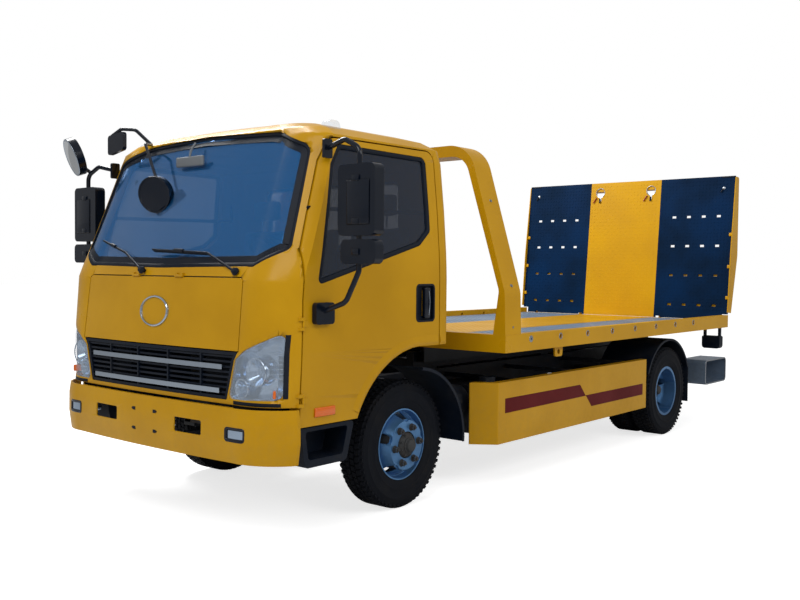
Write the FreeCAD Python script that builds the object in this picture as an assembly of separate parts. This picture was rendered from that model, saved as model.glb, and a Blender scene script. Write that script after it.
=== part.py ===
import FreeCAD, Part
import math
import os
from FreeCAD import Vector

# Flatbed tow truck. X forward from the front axle, Y to the truck's left, Z up from the ground.
# save() moves every piece along X, so that the origin lies midway under the truck's two ends.

# Whole truck
overall_length = 5995.0
front_overhang = 1220.0
wheelbase = 3460.0

# Gaps between pieces
run_gap = 0.05
seat_gap = 0.3
panel_gap = 6.0
slide_gap = 5.0

# Tyres and rims
tyre_radius = 383.0
tyre_width = 196.0
tread_width = 150.0
bead_width = 156.0
rim_radius = 214.0
rim_lip_radius = 206.0
rim_barrel_radius = 192.0
rim_width = 160.0
wheel_offset = 116.0
disc_thickness = 12.0
disc_face_radius = 148.0
disc_root_offset = 28.0
hub_hole_radius = 80.0
hub_radius = 74.0
spindle_radius = 30.0
stud_circle_radius = 111.0
stud_count = 6
nut_radius = 16.0
nut_height = 24.0
hand_hole_radius = 29.0
hand_hole_circle = 168.0
hand_hole_count = 5
drum_radius = 152.0
drum_width = 90.0
drum_wall = 12.0
front_rim_face = 862.0
rear_rim_face = 1004.0

# Chassis rails
rail_outer = 350.0
rail_flange = 62.0
rail_skin = 7.0
rail_top = 720.0
rail_height = 160.0
rail_front = 985.0
rail_rear = -4470.0
cross_height = 110.0
cross_depth = 60.0
cross_places = (760.0, -1090.0, -1560.0, -1960.0, -3150.0, -4200.0)

# Front axle and steering
kingpin_y = 690.0
kingpin_radius = 19.0
axle_eye_radius = 38.0
axle_eye_height = 86.0
knuckle_height = 190.0
beam_width = 70.0
beam_height = 66.0
beam_drop = 62.0
steer_arm_back = 165.0
steer_arm_in = 50.0
steer_arm_depth = 30.0
tie_rod_radius = 14.0

# Leaf springs
spring_width = 64.0
spring_thickness = 40.0
spring_rise = 62.0
leaf_count = 4
front_spring_y = 317.0
front_spring_half = 560.0
rear_spring_y = 430.0
rear_spring_half = 600.0
spring_eye_radius = 22.0

# Rear axle and driveline
axle_tube_radius = 58.0
axle_pad_height = 8.0
banjo_radius = 150.0
driveshaft_radius = 36.0
driveshaft_front_z = 530.0
driveshaft_rear_z = 400.0

# Engine block with gearbox, and radiator
engine_front = 470.0
engine_rear = -400.0
engine_half = 230.0
engine_bottom = 445.0
engine_top = 930.0
gearbox_rear = -960.0
gearbox_half = 120.0
radiator_x = 645.0
radiator_depth = 80.0
radiator_half = 280.0
radiator_bottom = 470.0
radiator_top = 955.0

# Tanks, boxes and exhaust on the frame
air_tank_radius = 105.0
air_tank_y = 705.0
air_tank_z = 560.0
air_tank_front = -500.0
air_tank_length = 290.0
oil_tank_front = -815.0
oil_tank_length = 460.0
fuel_tank_front = -900.0
fuel_tank_length = 760.0
tank_inner = 430.0
tank_outer = 940.0
tank_bottom = 330.0
tank_top = 655.0
filler_radius = 55.0
exhaust_radius = 95.0

# Side skirts
skirt_y = 1021.0
skirt_skin = 5.0
skirt_front = -793.0
skirt_rear = -3020.0
skirt_top = 692.0
skirt_bottom = 286.0
skirt_return = 60.0
skirt_chamfer = 150.0
skirt_arm_places = (-1130.0, -1900.0, -2790.0)

# Mudguards
guard_skin = 5.0
front_guard_radius = 465.0
rear_guard_radius = 455.0
rear_guard_inner = 570.0
rear_guard_outer = 1030.0
rear_guard_angle = 24.0
flap_bottom = 250.0
front_guard_inner = 640.0
front_guard_outer = 985.0

# Rear control boxes and underrun bar
control_box_front = -4256.0
control_box_rear = -4775.0
control_box_bottom = 362.0
control_box_top = 595.0
control_box_outer = 1040.0
control_box_depth = 240.0
control_box_skin = 6.0
lever_count = 5
lever_pitch = 45.0
lever_radius = 7.0
underrun_z = 430.0
underrun_x = -4560.0

# Cab body
cab_wall = 45.0
cab_rear = -280.0
cab_bottom = 725.0
door_bottom = 620.0
side_bottom = 981.0
arch_radius = 600.0
cab_corner_radius = 70.0
cab_corner_bulge = 50.0
shoulder_share = 0.7
cab_pivot_x = 1000.0
cab_pivot_z = 762.0
cab_pin_radius = 18.0
cab_lug_radius = 30.0
glass_inset = 12.0
glass_skin = 6.0
door_hinge_x = 972.0
door_hinge_y = 1013.0
door_hinge_places = (760.0, 1150.0)
flap_hinge_x = 1131.0
flap_hinge_z = 1386.0
flap_hinge_places = (-200.0, 200.0)
barrel_half = 15.0
hinge_lug = 18.0
hinge_pin_radius = 3.0
hinge_barrel_radius = 7.0
door_thickness = 60.0
door_gap = 8.0
door_swing_radius = 102.0
door_edge_start = 4.0
door_edge_sweep = 24.0
handle_depth = 26.0
panel_skin = 24.0
headlamp_depth = 100.0
headlamp_back = 992.0
dash_floor = 1250.0
dash_top = 1424.0
grille_slats = 8
grille_pitch = 27.0
steer_wheel_x = 560.0
steer_wheel_y = 430.0
steer_wheel_z = 1500.0
steer_wheel_radius = 215.0
steer_wheel_lean = 35.0

# Bumper
bumper_side_proud = 18.0
bumper_top = 715.0
bumper_bottom = 432.0
bumper_skin = 8.0
bumper_flange = 12.0
bumper_rear = 995.0
fog_lamp_y = 737.0
fog_lamp_z = 581.0
fog_lamp_width = 130.0
fog_lamp_height = 66.0

# Tilt frame and its cylinders
tilt_pivot_x = -4400.0
tilt_pivot_z = 676.0
tilt_pin_radius = 24.0
tilt_rail_outer = 365.0
tilt_rail_width = 62.0
tilt_bottom = 740.0
tilt_top = 858.0
tilt_front = -720.0
tilt_rear = -4440.0
tilt_cross_places = (-760.0, -1660.0, -2100.0, -3300.0, -4250.0)
tilt_cross_top = 800.0
cylinder_y = 200.0
barrel_foot_x = -3000.0
barrel_foot_z = 600.0
rod_eye_x = -2100.0
rod_eye_z = 690.0
barrel_radius = 42.0
barrel_wall = 8.0
rod_radius = 24.0
slide_barrel_front = -1700.0
slide_barrel_rear = -4180.0
slide_barrel_z = 850.0
slide_rod_end = -4440.0
wear_block_places = (-900.0, -1900.0, -3100.0, -4350.0)

# Bed
bed_half = 1150.0
bed_front = -673.0
bed_rear = -4519.0
bed_rail_top = 1018.0
bed_rail_height = 115.0
bed_rail_width = 60.0
deck_top = 968.0
deck_skin = 5.0
bed_beam_outer = 448.0
bed_beam_width = 72.0
bed_beam_skin = 8.0
bed_beam_bottom = 790.0
bed_beam_top = 905.0
bed_cross_pitch = 380.0
lash_hole_first = -980.0
lash_hole_pitch = 386.0
lash_hole_count = 8
lash_hole_radius = 17.0

# Headboard hoop
hoop_front = -673.0
hoop_depth = 186.0
hoop_top = 2250.0

# Winch
winch_x = -900.0
winch_z = 1110.0
winch_drum_radius = 60.0
winch_flange_radius = 100.0
winch_half = 210.0

# Ramp
ramp_length = 1426.0
ramp_lean = 5.9
ramp_stripe = 392.0
ramp_pin_x = -4552.0
ramp_pin_z = 935.0
ramp_pin_radius = 16.0
ramp_plate = 8.0
ramp_rib_depth = 70.0
ramp_side_depth = 120.0
ramp_rib_places = (60.0, 370.0, 690.0, 1010.0, 1250.0)
ramp_lug_places = (420.0, 960.0)


# Drawing helpers

def at(plane, u, v, w):
    if plane == "XZ":
        return Vector(u, w, v)
    if plane == "YZ":
        return Vector(w, u, v)
    return Vector(u, v, w)


def outline(plane, corners, w=0.0):
    """Closed wire through corners (u, v) or (u, v, radius), drawn on the plane at w."""
    points = [at(plane, c[0], c[1], w) for c in corners]
    spans = []
    for i, corner in enumerate(corners):
        here = points[i]
        radius = corner[2] if len(corner) > 2 else 0.0
        if radius == 0.0:
            spans.append((here, None, here))
            continue
        back = (points[i - 1] - here).normalize()
        ahead = (points[(i + 1) % len(points)] - here).normalize()
        half = back.getAngle(ahead) / 2
        reach = radius / math.tan(half)
        inward = (back + ahead).normalize()
        middle = here + inward * (radius / math.sin(half) - radius)
        spans.append((here + back * reach, middle, here + ahead * reach))
    edges = []
    for i, (start, middle, stop) in enumerate(spans):
        if middle is not None:
            edges.append(Part.Arc(start, middle, stop).toShape())
        following = spans[(i + 1) % len(spans)][0]
        if (following - stop).Length > 0.001:
            edges.append(Part.makeLine(stop, following))
    return Part.Wire(edges)


def prism(plane, corners, low, high):
    """Solid of the outline, from low to high along the plane's normal."""
    face = Part.Face(outline(plane, corners, low))
    return face.extrude(at(plane, 0.0, 0.0, high - low))


def box(x0, x1, y0, y1, z0, z1):
    return Part.makeBox(x1 - x0, y1 - y0, z1 - z0, Vector(x0, y0, z0))


def rod(start, stop, radius):
    line = stop - start
    return Part.makeCylinder(radius, line.Length, start, line)


def bar_y(x, z, y0, y1, radius):
    return Part.makeCylinder(radius, y1 - y0, Vector(x, y0, z), Vector(0, 1, 0))


def bar_x(y, z, x0, x1, radius):
    return Part.makeCylinder(radius, x1 - x0, Vector(x0, y, z), Vector(1, 0, 0))


def bar_z(x, y, z0, z1, radius):
    return Part.makeCylinder(radius, z1 - z0, Vector(x, y, z0), Vector(0, 0, 1))


def pipe(points, radius, bend):
    """Round bar along straight runs joined by tangent arcs."""
    edges = []
    start = points[0]
    for i in range(1, len(points) - 1):
        here = points[i]
        back = (points[i - 1] - here).normalize()
        ahead = (points[i + 1] - here).normalize()
        half = back.getAngle(ahead) / 2
        reach = bend / math.tan(half)
        inward = (back + ahead).normalize()
        middle = here + inward * (bend / math.sin(half) - bend)
        edges.append(Part.makeLine(start, here + back * reach))
        edges.append(Part.Arc(here + back * reach, middle, here + ahead * reach).toShape())
        start = here + ahead * reach
    edges.append(Part.makeLine(start, points[-1]))
    ring = Part.Wire(Part.makeCircle(radius, points[0], points[1] - points[0]))
    return Part.Wire(edges).makePipeShell([ring], True, False)


def fuse(shapes):
    whole = shapes[0]
    if len(shapes) > 1:
        whole = whole.multiFuse(shapes[1:])
    return whole.removeSplitter()


def mirrored(shape):
    return shape.mirror(Vector(0, 0, 0), Vector(0, 1, 0))


def pair(shape):
    return Part.makeCompound([shape, mirrored(shape)])


def turned(profile, x, z):
    """Solid of revolution about an axis along Y; the profile lists (y, radius)."""
    points = [Vector(x, y, z + r) for y, r in profile]
    face = Part.Face(Part.makePolygon(points + points[:1]))
    return face.revolve(Vector(x, 0, z), Vector(0, 1, 0), 360)


def save(name, shape):
    moved = shape.copy()
    moved.translate(Vector(overall_length / 2 - front_overhang, 0, 0))
    moved.exportStep("parts/" + name + ".step")


# Chassis frame

def rail_bottom():
    return rail_top - rail_height


def chassis_rail():
    inner = rail_outer - rail_flange
    return [box(rail_rear, rail_front, rail_outer - rail_skin, rail_outer, rail_bottom(), rail_top),
            box(rail_rear, rail_front, inner, rail_outer, rail_top - rail_skin, rail_top),
            box(rail_rear, rail_front, inner, rail_outer, rail_bottom(), rail_bottom() + rail_skin)]


def spring_hangers():
    hangers = []
    for axle, half, seat, middle in ((0.0, front_spring_half, front_spring_seat(), front_spring_y),
                                     (-wheelbase, rear_spring_half, rear_spring_seat(), rear_spring_y)):
        eye_z = spring_eye_z(seat)
        inner = middle - spring_width / 2 - seat_gap
        outer = middle + spring_width / 2 + seat_gap
        plate = max(rail_bottom() - 8, eye_z + spring_eye_radius + slide_gap)
        start = min(inner - 9, rail_outer - 40)
        for x in (axle - half, axle + half):
            for y0 in (inner - 9, outer):
                hangers.append(box(x - 30, x + 30, y0, y0 + 9, eye_z - 30, plate + 1))
            hangers.append(box(x - 30, x + 30, start, outer + 9, plate, plate + 9))
    return hangers


def cab_stand():
    return [box(-205, -145, rail_outer - 60, rail_outer, rail_top - 1, side_bottom - panel_gap)]


def cab_hinge_ears():
    inner = rail_outer - 58
    ears = []
    for y0 in (inner, rail_outer - 12):
        ears.append(prism("XZ", [(cab_pivot_x - 80, rail_top - 1), (rail_front, rail_top - 1),
                                 (cab_pivot_x + 28, cab_pivot_z, 20), (cab_pivot_x, cab_pivot_z + 34, 20),
                                 (cab_pivot_x - 50, cab_pivot_z + 10, 20)], y0, y0 + 12))
    ears.append(bar_y(cab_pivot_x, cab_pivot_z, inner, rail_outer, cab_pin_radius))
    return ears


def bumper_brackets():
    low = rail_bottom() - 70
    plate = prism("XZ", [(rail_front - 160, rail_bottom() + 1), (rail_front - 60, low), (front_overhang, low),
                         (front_overhang, rail_bottom() - 10), (rail_front, rail_bottom() - 10),
                         (rail_front, rail_bottom() + 1)], rail_outer - rail_skin, rail_outer)
    return [plate.common(bumper_loft(bumper_skin + seat_gap))]


def cylinder_feet():
    feet = []
    wall = rail_outer - rail_skin + 1
    for y0, y1 in ((cylinder_y - 44, cylinder_y - 30), (cylinder_y + 30, wall)):
        feet.append(box(barrel_foot_x - 64, barrel_foot_x + 22, y0, y1, barrel_foot_z - 26, barrel_foot_z + 26))
    feet.append(bar_y(barrel_foot_x, barrel_foot_z, cylinder_y - 31, cylinder_y + 31, 16))
    feet.append(box(barrel_foot_x - 64, barrel_foot_x - 40, cylinder_y - 44, wall, barrel_foot_z - 26,
                    barrel_foot_z + 26))
    return feet


def rest_pads():
    return [box(x - 60, x + 60, rail_outer - 45, rail_outer - 5, rail_top - 1, tilt_bottom - seat_gap)
            for x in (-950.0, -2500.0, -3900.0)]


def engine_mounts():
    return [box(x - 40, x + 40, engine_half + seat_gap, rail_outer - rail_skin + 1, 600, 650)
            for x in (250.0, -250.0)]


def radiator_feet():
    return [box(radiator_x - 40, radiator_x + 40, radiator_half - 40, rail_outer - rail_skin + 1,
                radiator_bottom - 20, radiator_bottom - seat_gap),
            box(radiator_x - 40, radiator_x + 40, rail_outer - 2 * rail_skin, rail_outer - rail_skin + 1,
                radiator_bottom - 20, rail_bottom() + 1)]


def side_arms():
    """Arms from each rail to the side skirt."""
    top = skirt_top - skirt_skin - seat_gap
    return [box(x - 25, x + 25, rail_outer - 2, skirt_y - skirt_skin - seat_gap, top - 28, top)
            for x in skirt_arm_places]


def rear_arms():
    """Arms from each rail to the rear mudguards and control boxes."""
    arms = []
    low = tyre_radius + rear_guard_radius * math.sin(math.radians(rear_guard_angle)) + slide_gap
    reach = math.sqrt((rear_guard_radius + guard_skin) ** 2 - (low - tyre_radius) ** 2) + seat_gap
    for start, stop in ((reach, reach + 30), (-reach - 30, -reach)):
        arms.append(box(-wheelbase + start, -wheelbase + stop, rail_outer - 2, rear_guard_outer - 30,
                        low, low + 28))
    inner = control_box_outer - control_box_depth
    arms.append(box(control_box_front - 140, control_box_front - 80, rail_outer - 2, inner - seat_gap,
                    rail_bottom() - 60, rail_bottom() + 30))
    return arms


def tank_straps():
    straps = []
    for front, length in ((oil_tank_front, oil_tank_length), (fuel_tank_front, fuel_tank_length)):
        for share in (0.2, 0.8):
            x = front - length * share
            shelf = box(x - 20, x + 20, rail_outer - 2, tank_outer - 60,
                        tank_bottom - 12, tank_bottom - seat_gap)
            post = box(x - 20, x + 20, rail_outer - 2, rail_outer + 20, tank_bottom - 12, rail_bottom() + 40)
            straps.append((front, fuse([shelf, post])))
    left = [shape for front, shape in straps if front == oil_tank_front]
    right = [mirrored(shape) for front, shape in straps if front == fuel_tank_front]
    x = air_tank_front - air_tank_length / 2
    left.append(box(x - 30, x + 30, rail_outer - 2, air_tank_y, air_tank_z + air_tank_radius + seat_gap,
                    air_tank_z + air_tank_radius + 20))
    return left + right


def chassis_frame():
    pieces = []
    inner = rail_outer - rail_skin + 1
    low = rail_top - rail_height / 2 - cross_height / 2
    for x in cross_places:
        pieces.append(box(x - cross_depth / 2, x + cross_depth / 2, -inner, inner, low, low + cross_height))
    sides = chassis_rail() + spring_hangers() + cab_stand() + cab_hinge_ears() + bumper_brackets()
    sides += cylinder_feet() + rest_pads() + engine_mounts() + radiator_feet() + side_arms() + rear_arms()
    for piece in sides:
        pieces += [piece, mirrored(piece)]
    pieces += tank_straps()
    top = side_bottom - panel_gap
    pieces.append(box(-205, -145, -rail_outer, rail_outer, top - 30, top))
    tube = tilt_pin_radius + 14
    pieces.append(bar_y(tilt_pivot_x, tilt_pivot_z, -rail_outer - 4, rail_outer + 4, tube))
    pieces += both([box(underrun_x, rail_rear + 1, rail_outer - 40, rail_outer,
                        underrun_z - 40, rail_bottom() + 40)])
    frame = fuse(pieces + [underrun_bar()])
    bore = tilt_pin_radius + run_gap
    return frame.cut(bar_y(tilt_pivot_x, tilt_pivot_z, -rail_outer - 9, rail_outer + 9, bore))


# Springs and axles

def front_spring_seat():
    return tyre_radius - beam_drop + beam_height / 2


def rear_spring_seat():
    return tyre_radius + axle_tube_radius + axle_pad_height


def spring_eye_z(seat):
    return seat + spring_thickness + spring_rise - spring_thickness / leaf_count / 2


def leaf(x, y, reach, upper, rise, thick):
    """One curved leaf: its top follows an arc from end to end."""
    left = Vector(x - reach, y, upper + rise)
    right = Vector(x + reach, y, upper + rise)
    drop = Vector(0, 0, thick)
    edges = [Part.Arc(left, Vector(x, y, upper), right).toShape(),
             Part.makeLine(right, right - drop),
             Part.Arc(right - drop, Vector(x, y, upper - thick), left - drop).toShape(),
             Part.makeLine(left - drop, left)]
    return Part.Face(Part.Wire(edges)).extrude(Vector(0, spring_width, 0))


def leaf_pack(x, middle, half, seat):
    """Leaves of falling length under a full one with rolled eyes, clamped over the axle."""
    y = middle - spring_width / 2
    thick = spring_thickness / leaf_count
    pieces = []
    for i in range(leaf_count):
        share = 1.0 - 0.22 * (leaf_count - 1 - i)
        pieces.append(leaf(x, y, half * share, seat + thick * (i + 1), spring_rise * share ** 2, thick))
    for end in (-half, half):
        pieces.append(bar_y(x + end, spring_eye_z(seat), y, y + spring_width, spring_eye_radius))
    pieces.append(box(x - 60, x + 60, y, y + spring_width, seat, seat + spring_thickness + 14))
    return fuse(pieces)


def leaf_springs():
    front = leaf_pack(0.0, front_spring_y, front_spring_half, front_spring_seat())
    rear = leaf_pack(-wheelbase, rear_spring_y, rear_spring_half, rear_spring_seat())
    return Part.makeCompound([front, mirrored(front), rear, mirrored(rear)])


def front_axle():
    """Dropped I-beam with an eye and kingpin at each end."""
    low = tyre_radius - beam_drop - beam_height / 2
    high = low + beam_height
    eye_low = tyre_radius - axle_eye_height / 2
    rise = eye_low + axle_eye_height - 8
    end = kingpin_y - 30
    corners = [(-end, eye_low + 8), (-end + 160, low, 60), (end - 160, low, 60), (end, eye_low + 8),
               (end, rise), (end - 110, high, 60), (-end + 110, high, 60), (-end, rise)]
    beam = prism("YZ", corners, -beam_width / 2, beam_width / 2)
    flute = prism("YZ", [(-430, low + 14, 10), (430, low + 14, 10), (430, high - 14, 10),
                         (-430, high - 14, 10)], beam_width / 2 - 22, beam_width / 2 + 1)
    beam = beam.cut(flute).cut(flute.mirror(Vector(0, 0, 0), Vector(1, 0, 0)))
    pieces = [beam]
    for side in (-kingpin_y, kingpin_y):
        pieces.append(bar_z(0, side, eye_low, eye_low + axle_eye_height, axle_eye_radius))
        pieces.append(bar_z(0, side, tyre_radius - knuckle_height / 2, tyre_radius + knuckle_height / 2,
                            kingpin_radius))
    return fuse(pieces)


def knuckle_left():
    """Forked knuckle with the wheel spindle, and an arm back to the tie rod."""
    half = knuckle_height / 2
    ear = half - axle_eye_height / 2 - slide_gap
    plate_y = kingpin_y + axle_eye_radius + 7
    pieces = []
    for z0 in (tyre_radius - half, tyre_radius + half - ear):
        pieces.append(bar_z(0, kingpin_y, z0, z0 + ear, axle_eye_radius))
        pieces.append(box(-axle_eye_radius, axle_eye_radius, kingpin_y, plate_y + 26, z0, z0 + ear))
    pieces.append(box(-axle_eye_radius, axle_eye_radius, plate_y, plate_y + 26, tyre_radius - half,
                      tyre_radius + half))
    pieces.append(bar_y(0, tyre_radius, plate_y, front_mount() + 8, spindle_radius - run_gap))
    z0 = tyre_radius - half
    end_x = -steer_arm_back
    end_y = kingpin_y - steer_arm_in
    pieces.append(prism("XY", [(-10, kingpin_y - 30), (-20, kingpin_y + 20, 12), (end_x - 20, end_y + 24, 20),
                               (end_x - 22, end_y - 22, 18), (end_x + 24, end_y - 22, 18)],
                        z0, z0 + steer_arm_depth))
    body = fuse(pieces)
    return body.cut(bar_z(0, kingpin_y, z0 - 1, z0 + knuckle_height + 1, kingpin_radius + run_gap))


def tie_rod():
    """Bar behind the axle, its ball studs standing just under the steering arms."""
    top = tyre_radius - knuckle_height / 2 - seat_gap
    z = top - 28
    reach = kingpin_y - steer_arm_in
    pieces = [bar_y(-steer_arm_back, z, -reach, reach, tie_rod_radius)]
    for y in (-reach, reach):
        pieces.append(bar_z(-steer_arm_back, y, z - 20, top, 18))
    return fuse(pieces)


def rear_axle():
    """Banjo housing with tubes, spring pads and a spindle at each end."""
    reach = rear_mount() - drum_width
    tube = bar_y(-wheelbase, tyre_radius, -reach, reach, axle_tube_radius)
    bulge = Part.makeSphere(banjo_radius, Vector(-wheelbase, 0, tyre_radius))
    bulge = bulge.common(box(-wheelbase - 400, -wheelbase + 400, -110, 110, 0, 999))
    nose = bar_x(0, driveshaft_rear_z, -wheelbase + 90, -wheelbase + 230, 62)
    pieces = [tube, bulge, nose]
    end = rear_mount() + 100
    spindle = bar_y(-wheelbase, tyre_radius, -end, end, spindle_radius - run_gap)
    pieces.append(spindle)
    for side in (-1, 1):
        y = side * rear_spring_y
        pieces.append(box(-wheelbase - 60, -wheelbase + 60, y - spring_width / 2, y + spring_width / 2,
                          tyre_radius, rear_spring_seat()))
    return fuse(pieces)


def driveshaft():
    start = Vector(gearbox_rear - seat_gap, 0, driveshaft_front_z)
    stop = Vector(-wheelbase + 230 + seat_gap + 8, 0, driveshaft_rear_z)
    line = (stop - start).normalize()
    pieces = [rod(start + line * 60, stop - line * 60, driveshaft_radius)]
    pieces.append(bar_x(0, driveshaft_front_z, start.x - 80, start.x, 46))
    pieces.append(bar_x(0, driveshaft_rear_z, stop.x - 8, stop.x + 80, 46))
    return fuse(pieces)


def engine_and_gearbox():
    """Plain block at the engine's size, with the gearbox tapering back from it."""
    block = box(engine_rear, engine_front, -engine_half, engine_half, engine_bottom, engine_top)
    front = outline("YZ", [(-180, 450, 40), (180, 450, 40), (180, 720, 40), (-180, 720, 40)], engine_rear)
    back = outline("YZ", [(-gearbox_half, 455, 30), (gearbox_half, 455, 30), (gearbox_half, 660, 30),
                          (-gearbox_half, 660, 30)], gearbox_rear)
    return fuse([block, Part.makeLoft([back, front], True, True)])


def radiator():
    half = radiator_depth / 2
    return box(radiator_x - half, radiator_x + half, -radiator_half, radiator_half,
               radiator_bottom, radiator_top)


# Wheels, drawn for the truck's left side

def front_centre():
    return front_rim_face - rim_width / 2


def twin_centres():
    """Outer and inner tyre of the rear pair: the two discs meet back to back."""
    outer = rear_rim_face - rim_width / 2
    return outer, outer - 2 * wheel_offset


def front_mount():
    """Face of the front hub that carries the disc."""
    return front_centre() + wheel_offset - disc_thickness


def rear_mount():
    return twin_centres()[1] + wheel_offset - disc_thickness


def tyre(x, centre):
    half = tyre_width / 2
    shoulder = tyre_radius * 0.82
    return turned([(centre - bead_width / 2, rim_radius), (centre - half, shoulder),
                   (centre - tread_width / 2, tyre_radius), (centre + tread_width / 2, tyre_radius),
                   (centre + half, shoulder), (centre + bead_width / 2, rim_radius)], x, tyre_radius)


def wheel_disc(x, centre, side):
    """Rim barrel and dished disc in one profile; side is 1 where the disc stands outward."""
    half = rim_width / 2
    back = disc_root_offset - disc_thickness
    profile = [(half, rim_radius), (-half, rim_radius), (-half, rim_barrel_radius), (back, rim_barrel_radius),
               (wheel_offset - disc_thickness, disc_face_radius - disc_thickness / 2),
               (wheel_offset - disc_thickness, hub_hole_radius), (wheel_offset, hub_hole_radius),
               (wheel_offset, disc_face_radius), (disc_root_offset, rim_barrel_radius), (half, rim_lip_radius)]
    body = turned([(centre + side * v, r) for v, r in profile], x, tyre_radius)
    low = centre - wheel_offset - 1
    holes = []
    for i in range(hand_hole_count):
        angle = math.pi / 2 + 2 * math.pi * i / hand_hole_count
        across = x + hand_hole_circle * math.cos(angle)
        height = tyre_radius + hand_hole_circle * math.sin(angle)
        holes.append(bar_y(across, height, low, low + 2 * wheel_offset + 2, hand_hole_radius))
    return body.cut(Part.makeCompound(holes))


def wheel_nuts(x, y):
    nuts = []
    for i in range(stud_count):
        angle = math.pi / 2 + 2 * math.pi * (i + 0.4) / stud_count
        across = x + stud_circle_radius * math.cos(angle)
        height = tyre_radius + stud_circle_radius * math.sin(angle)
        nuts.append(bar_y(across, height, y, y + nut_height, nut_radius))
    return nuts


def hub(x, inner, mount, nose):
    """Drum and hub running on the spindle; the nose passes through the disc's hole."""
    drum = turned([(mount, spindle_radius), (mount, drum_radius), (mount - drum_width, drum_radius),
                   (mount - drum_width, drum_radius - drum_wall), (mount - drum_wall, drum_radius - drum_wall),
                   (mount - drum_wall, hub_radius), (inner, hub_radius - 14), (inner, spindle_radius)],
                  x, tyre_radius)
    barrel = turned([(mount, spindle_radius), (nose - 14, spindle_radius), (nose - 14, 0), (nose, 0),
                     (nose, hub_radius - 22), (nose - 20, hub_radius), (mount, hub_radius)], x, tyre_radius)
    return [drum, barrel]


def front_wheel():
    inner = kingpin_y + axle_eye_radius + 7 + 26 + slide_gap
    pieces = [wheel_disc(0.0, front_centre(), 1)] + wheel_nuts(0.0, front_centre() + wheel_offset)
    return fuse(pieces + hub(0.0, inner, front_mount(), front_mount() + 30))


def rear_wheels():
    outer, inner = twin_centres()
    pieces = [wheel_disc(-wheelbase, outer, -1), wheel_disc(-wheelbase, inner, 1)]
    pieces += wheel_nuts(-wheelbase, outer - wheel_offset + disc_thickness)
    mount = rear_mount()
    return fuse(pieces + hub(-wheelbase, mount - drum_width + slide_gap, mount, mount + 122))


# Things hung on the frame

def side_tank(front, length, side):
    """Closed tank with rounded edges and a filler cap on its top."""
    corners = [(tank_inner, tank_bottom, 50), (tank_outer, tank_bottom, 50), (tank_outer, tank_top, 50),
               (tank_inner, tank_top, 50)]
    body = prism("YZ", corners, front - length, front)
    cap = bar_z(front - 75, tank_outer - 75, tank_top - 1, tank_top + 60, filler_radius)
    whole = fuse([body, cap])
    return whole if side > 0 else mirrored(whole)


def air_tank():
    centre = bar_x(air_tank_y, air_tank_z, air_tank_front - air_tank_length, air_tank_front, air_tank_radius)
    return centre.makeFillet(45, [e for e in centre.Edges if e.Closed and e.Curve.TypeId == "Part::GeomCircle"])


def exhaust():
    """Silencer under the right rail with its pipes forward to the engine and out to the side."""
    y = -225.0
    z = rail_bottom() - exhaust_radius - 15
    can = bar_x(y, z, -2000, -1400, exhaust_radius)
    front_pipe = pipe([Vector(-1410, y, z), Vector(-900, y, z), Vector(-650, y, z + 40),
                       Vector(engine_rear - seat_gap, y, z + 40)], 28, 90)
    tail = pipe([Vector(-1990, y, z), Vector(-2250, y, z), Vector(-2450, -500, 340), Vector(-2450, -900, 320)],
                28, 90)
    return fuse([can, front_pipe, tail])


def side_skirt():
    """Bent sheet: long outer face, a slanted front face, and a return along the top and bottom."""
    inner = skirt_y - skirt_chamfer
    start = skirt_front + 110
    plan = [(skirt_rear, skirt_y), (skirt_front, skirt_y, 12), (start, inner), (start, inner - skirt_skin),
            (skirt_front - skirt_skin, skirt_y - skirt_skin, 8), (skirt_rear, skirt_y - skirt_skin)]
    wall = prism("XY", plan, skirt_bottom, skirt_top)
    shelf_plan = [(skirt_rear, skirt_y - 1), (skirt_front - 1, skirt_y - 1), (start - 1, inner - 1),
                  (start - skirt_return, inner - skirt_skin), (skirt_front - 30, skirt_y - skirt_return),
                  (skirt_rear, skirt_y - skirt_return)]
    pieces = [wall]
    for z in (skirt_bottom, skirt_top - skirt_skin):
        pieces.append(prism("XY", shelf_plan, z, z + skirt_skin))
    return fuse(pieces)


def arc_guard(x, radius, start, stop, y0, y1):
    """Curved sheet round a wheel, from one angle to another, with a rolled outer lip."""
    ring = []
    for r0, r1, a, b in ((radius, radius + guard_skin, y0, y1), (radius - 14, radius + guard_skin, y1 - 6, y1)):
        outer = Part.makeCylinder(r1, b - a, Vector(x, a, tyre_radius), Vector(0, 1, 0))
        inner = Part.makeCylinder(r0, b - a, Vector(x, a, tyre_radius), Vector(0, 1, 0))
        ring.append(outer.cut(inner))
    far = 2 * radius
    first = math.radians(start)
    last = math.radians(stop)
    middle = (first + last) / 2
    wedge = Part.makePolygon([Vector(x, y0, tyre_radius),
                              Vector(x + far * math.cos(first), y0, tyre_radius + far * math.sin(first)),
                              Vector(x + far * math.cos(middle), y0, tyre_radius + far * math.sin(middle)),
                              Vector(x + far * math.cos(last), y0, tyre_radius + far * math.sin(last)),
                              Vector(x, y0, tyre_radius)])
    sector = Part.Face(wedge).extrude(Vector(0, y1 - y0, 0))
    return fuse(ring).common(sector)


def rear_mudguard():
    """Arched guard over the twin tyres, with the flap hanging behind."""
    arch = arc_guard(-wheelbase, rear_guard_radius, rear_guard_angle, 180 - rear_guard_angle,
                     rear_guard_inner, rear_guard_outer)
    edge = -wheelbase - rear_guard_radius * math.cos(math.radians(rear_guard_angle))
    z = tyre_radius + rear_guard_radius * math.sin(math.radians(rear_guard_angle))
    flap = box(edge - guard_skin, edge + 1, rear_guard_inner, rear_guard_outer, flap_bottom, z + 4)
    return fuse([arch, flap])


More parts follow.
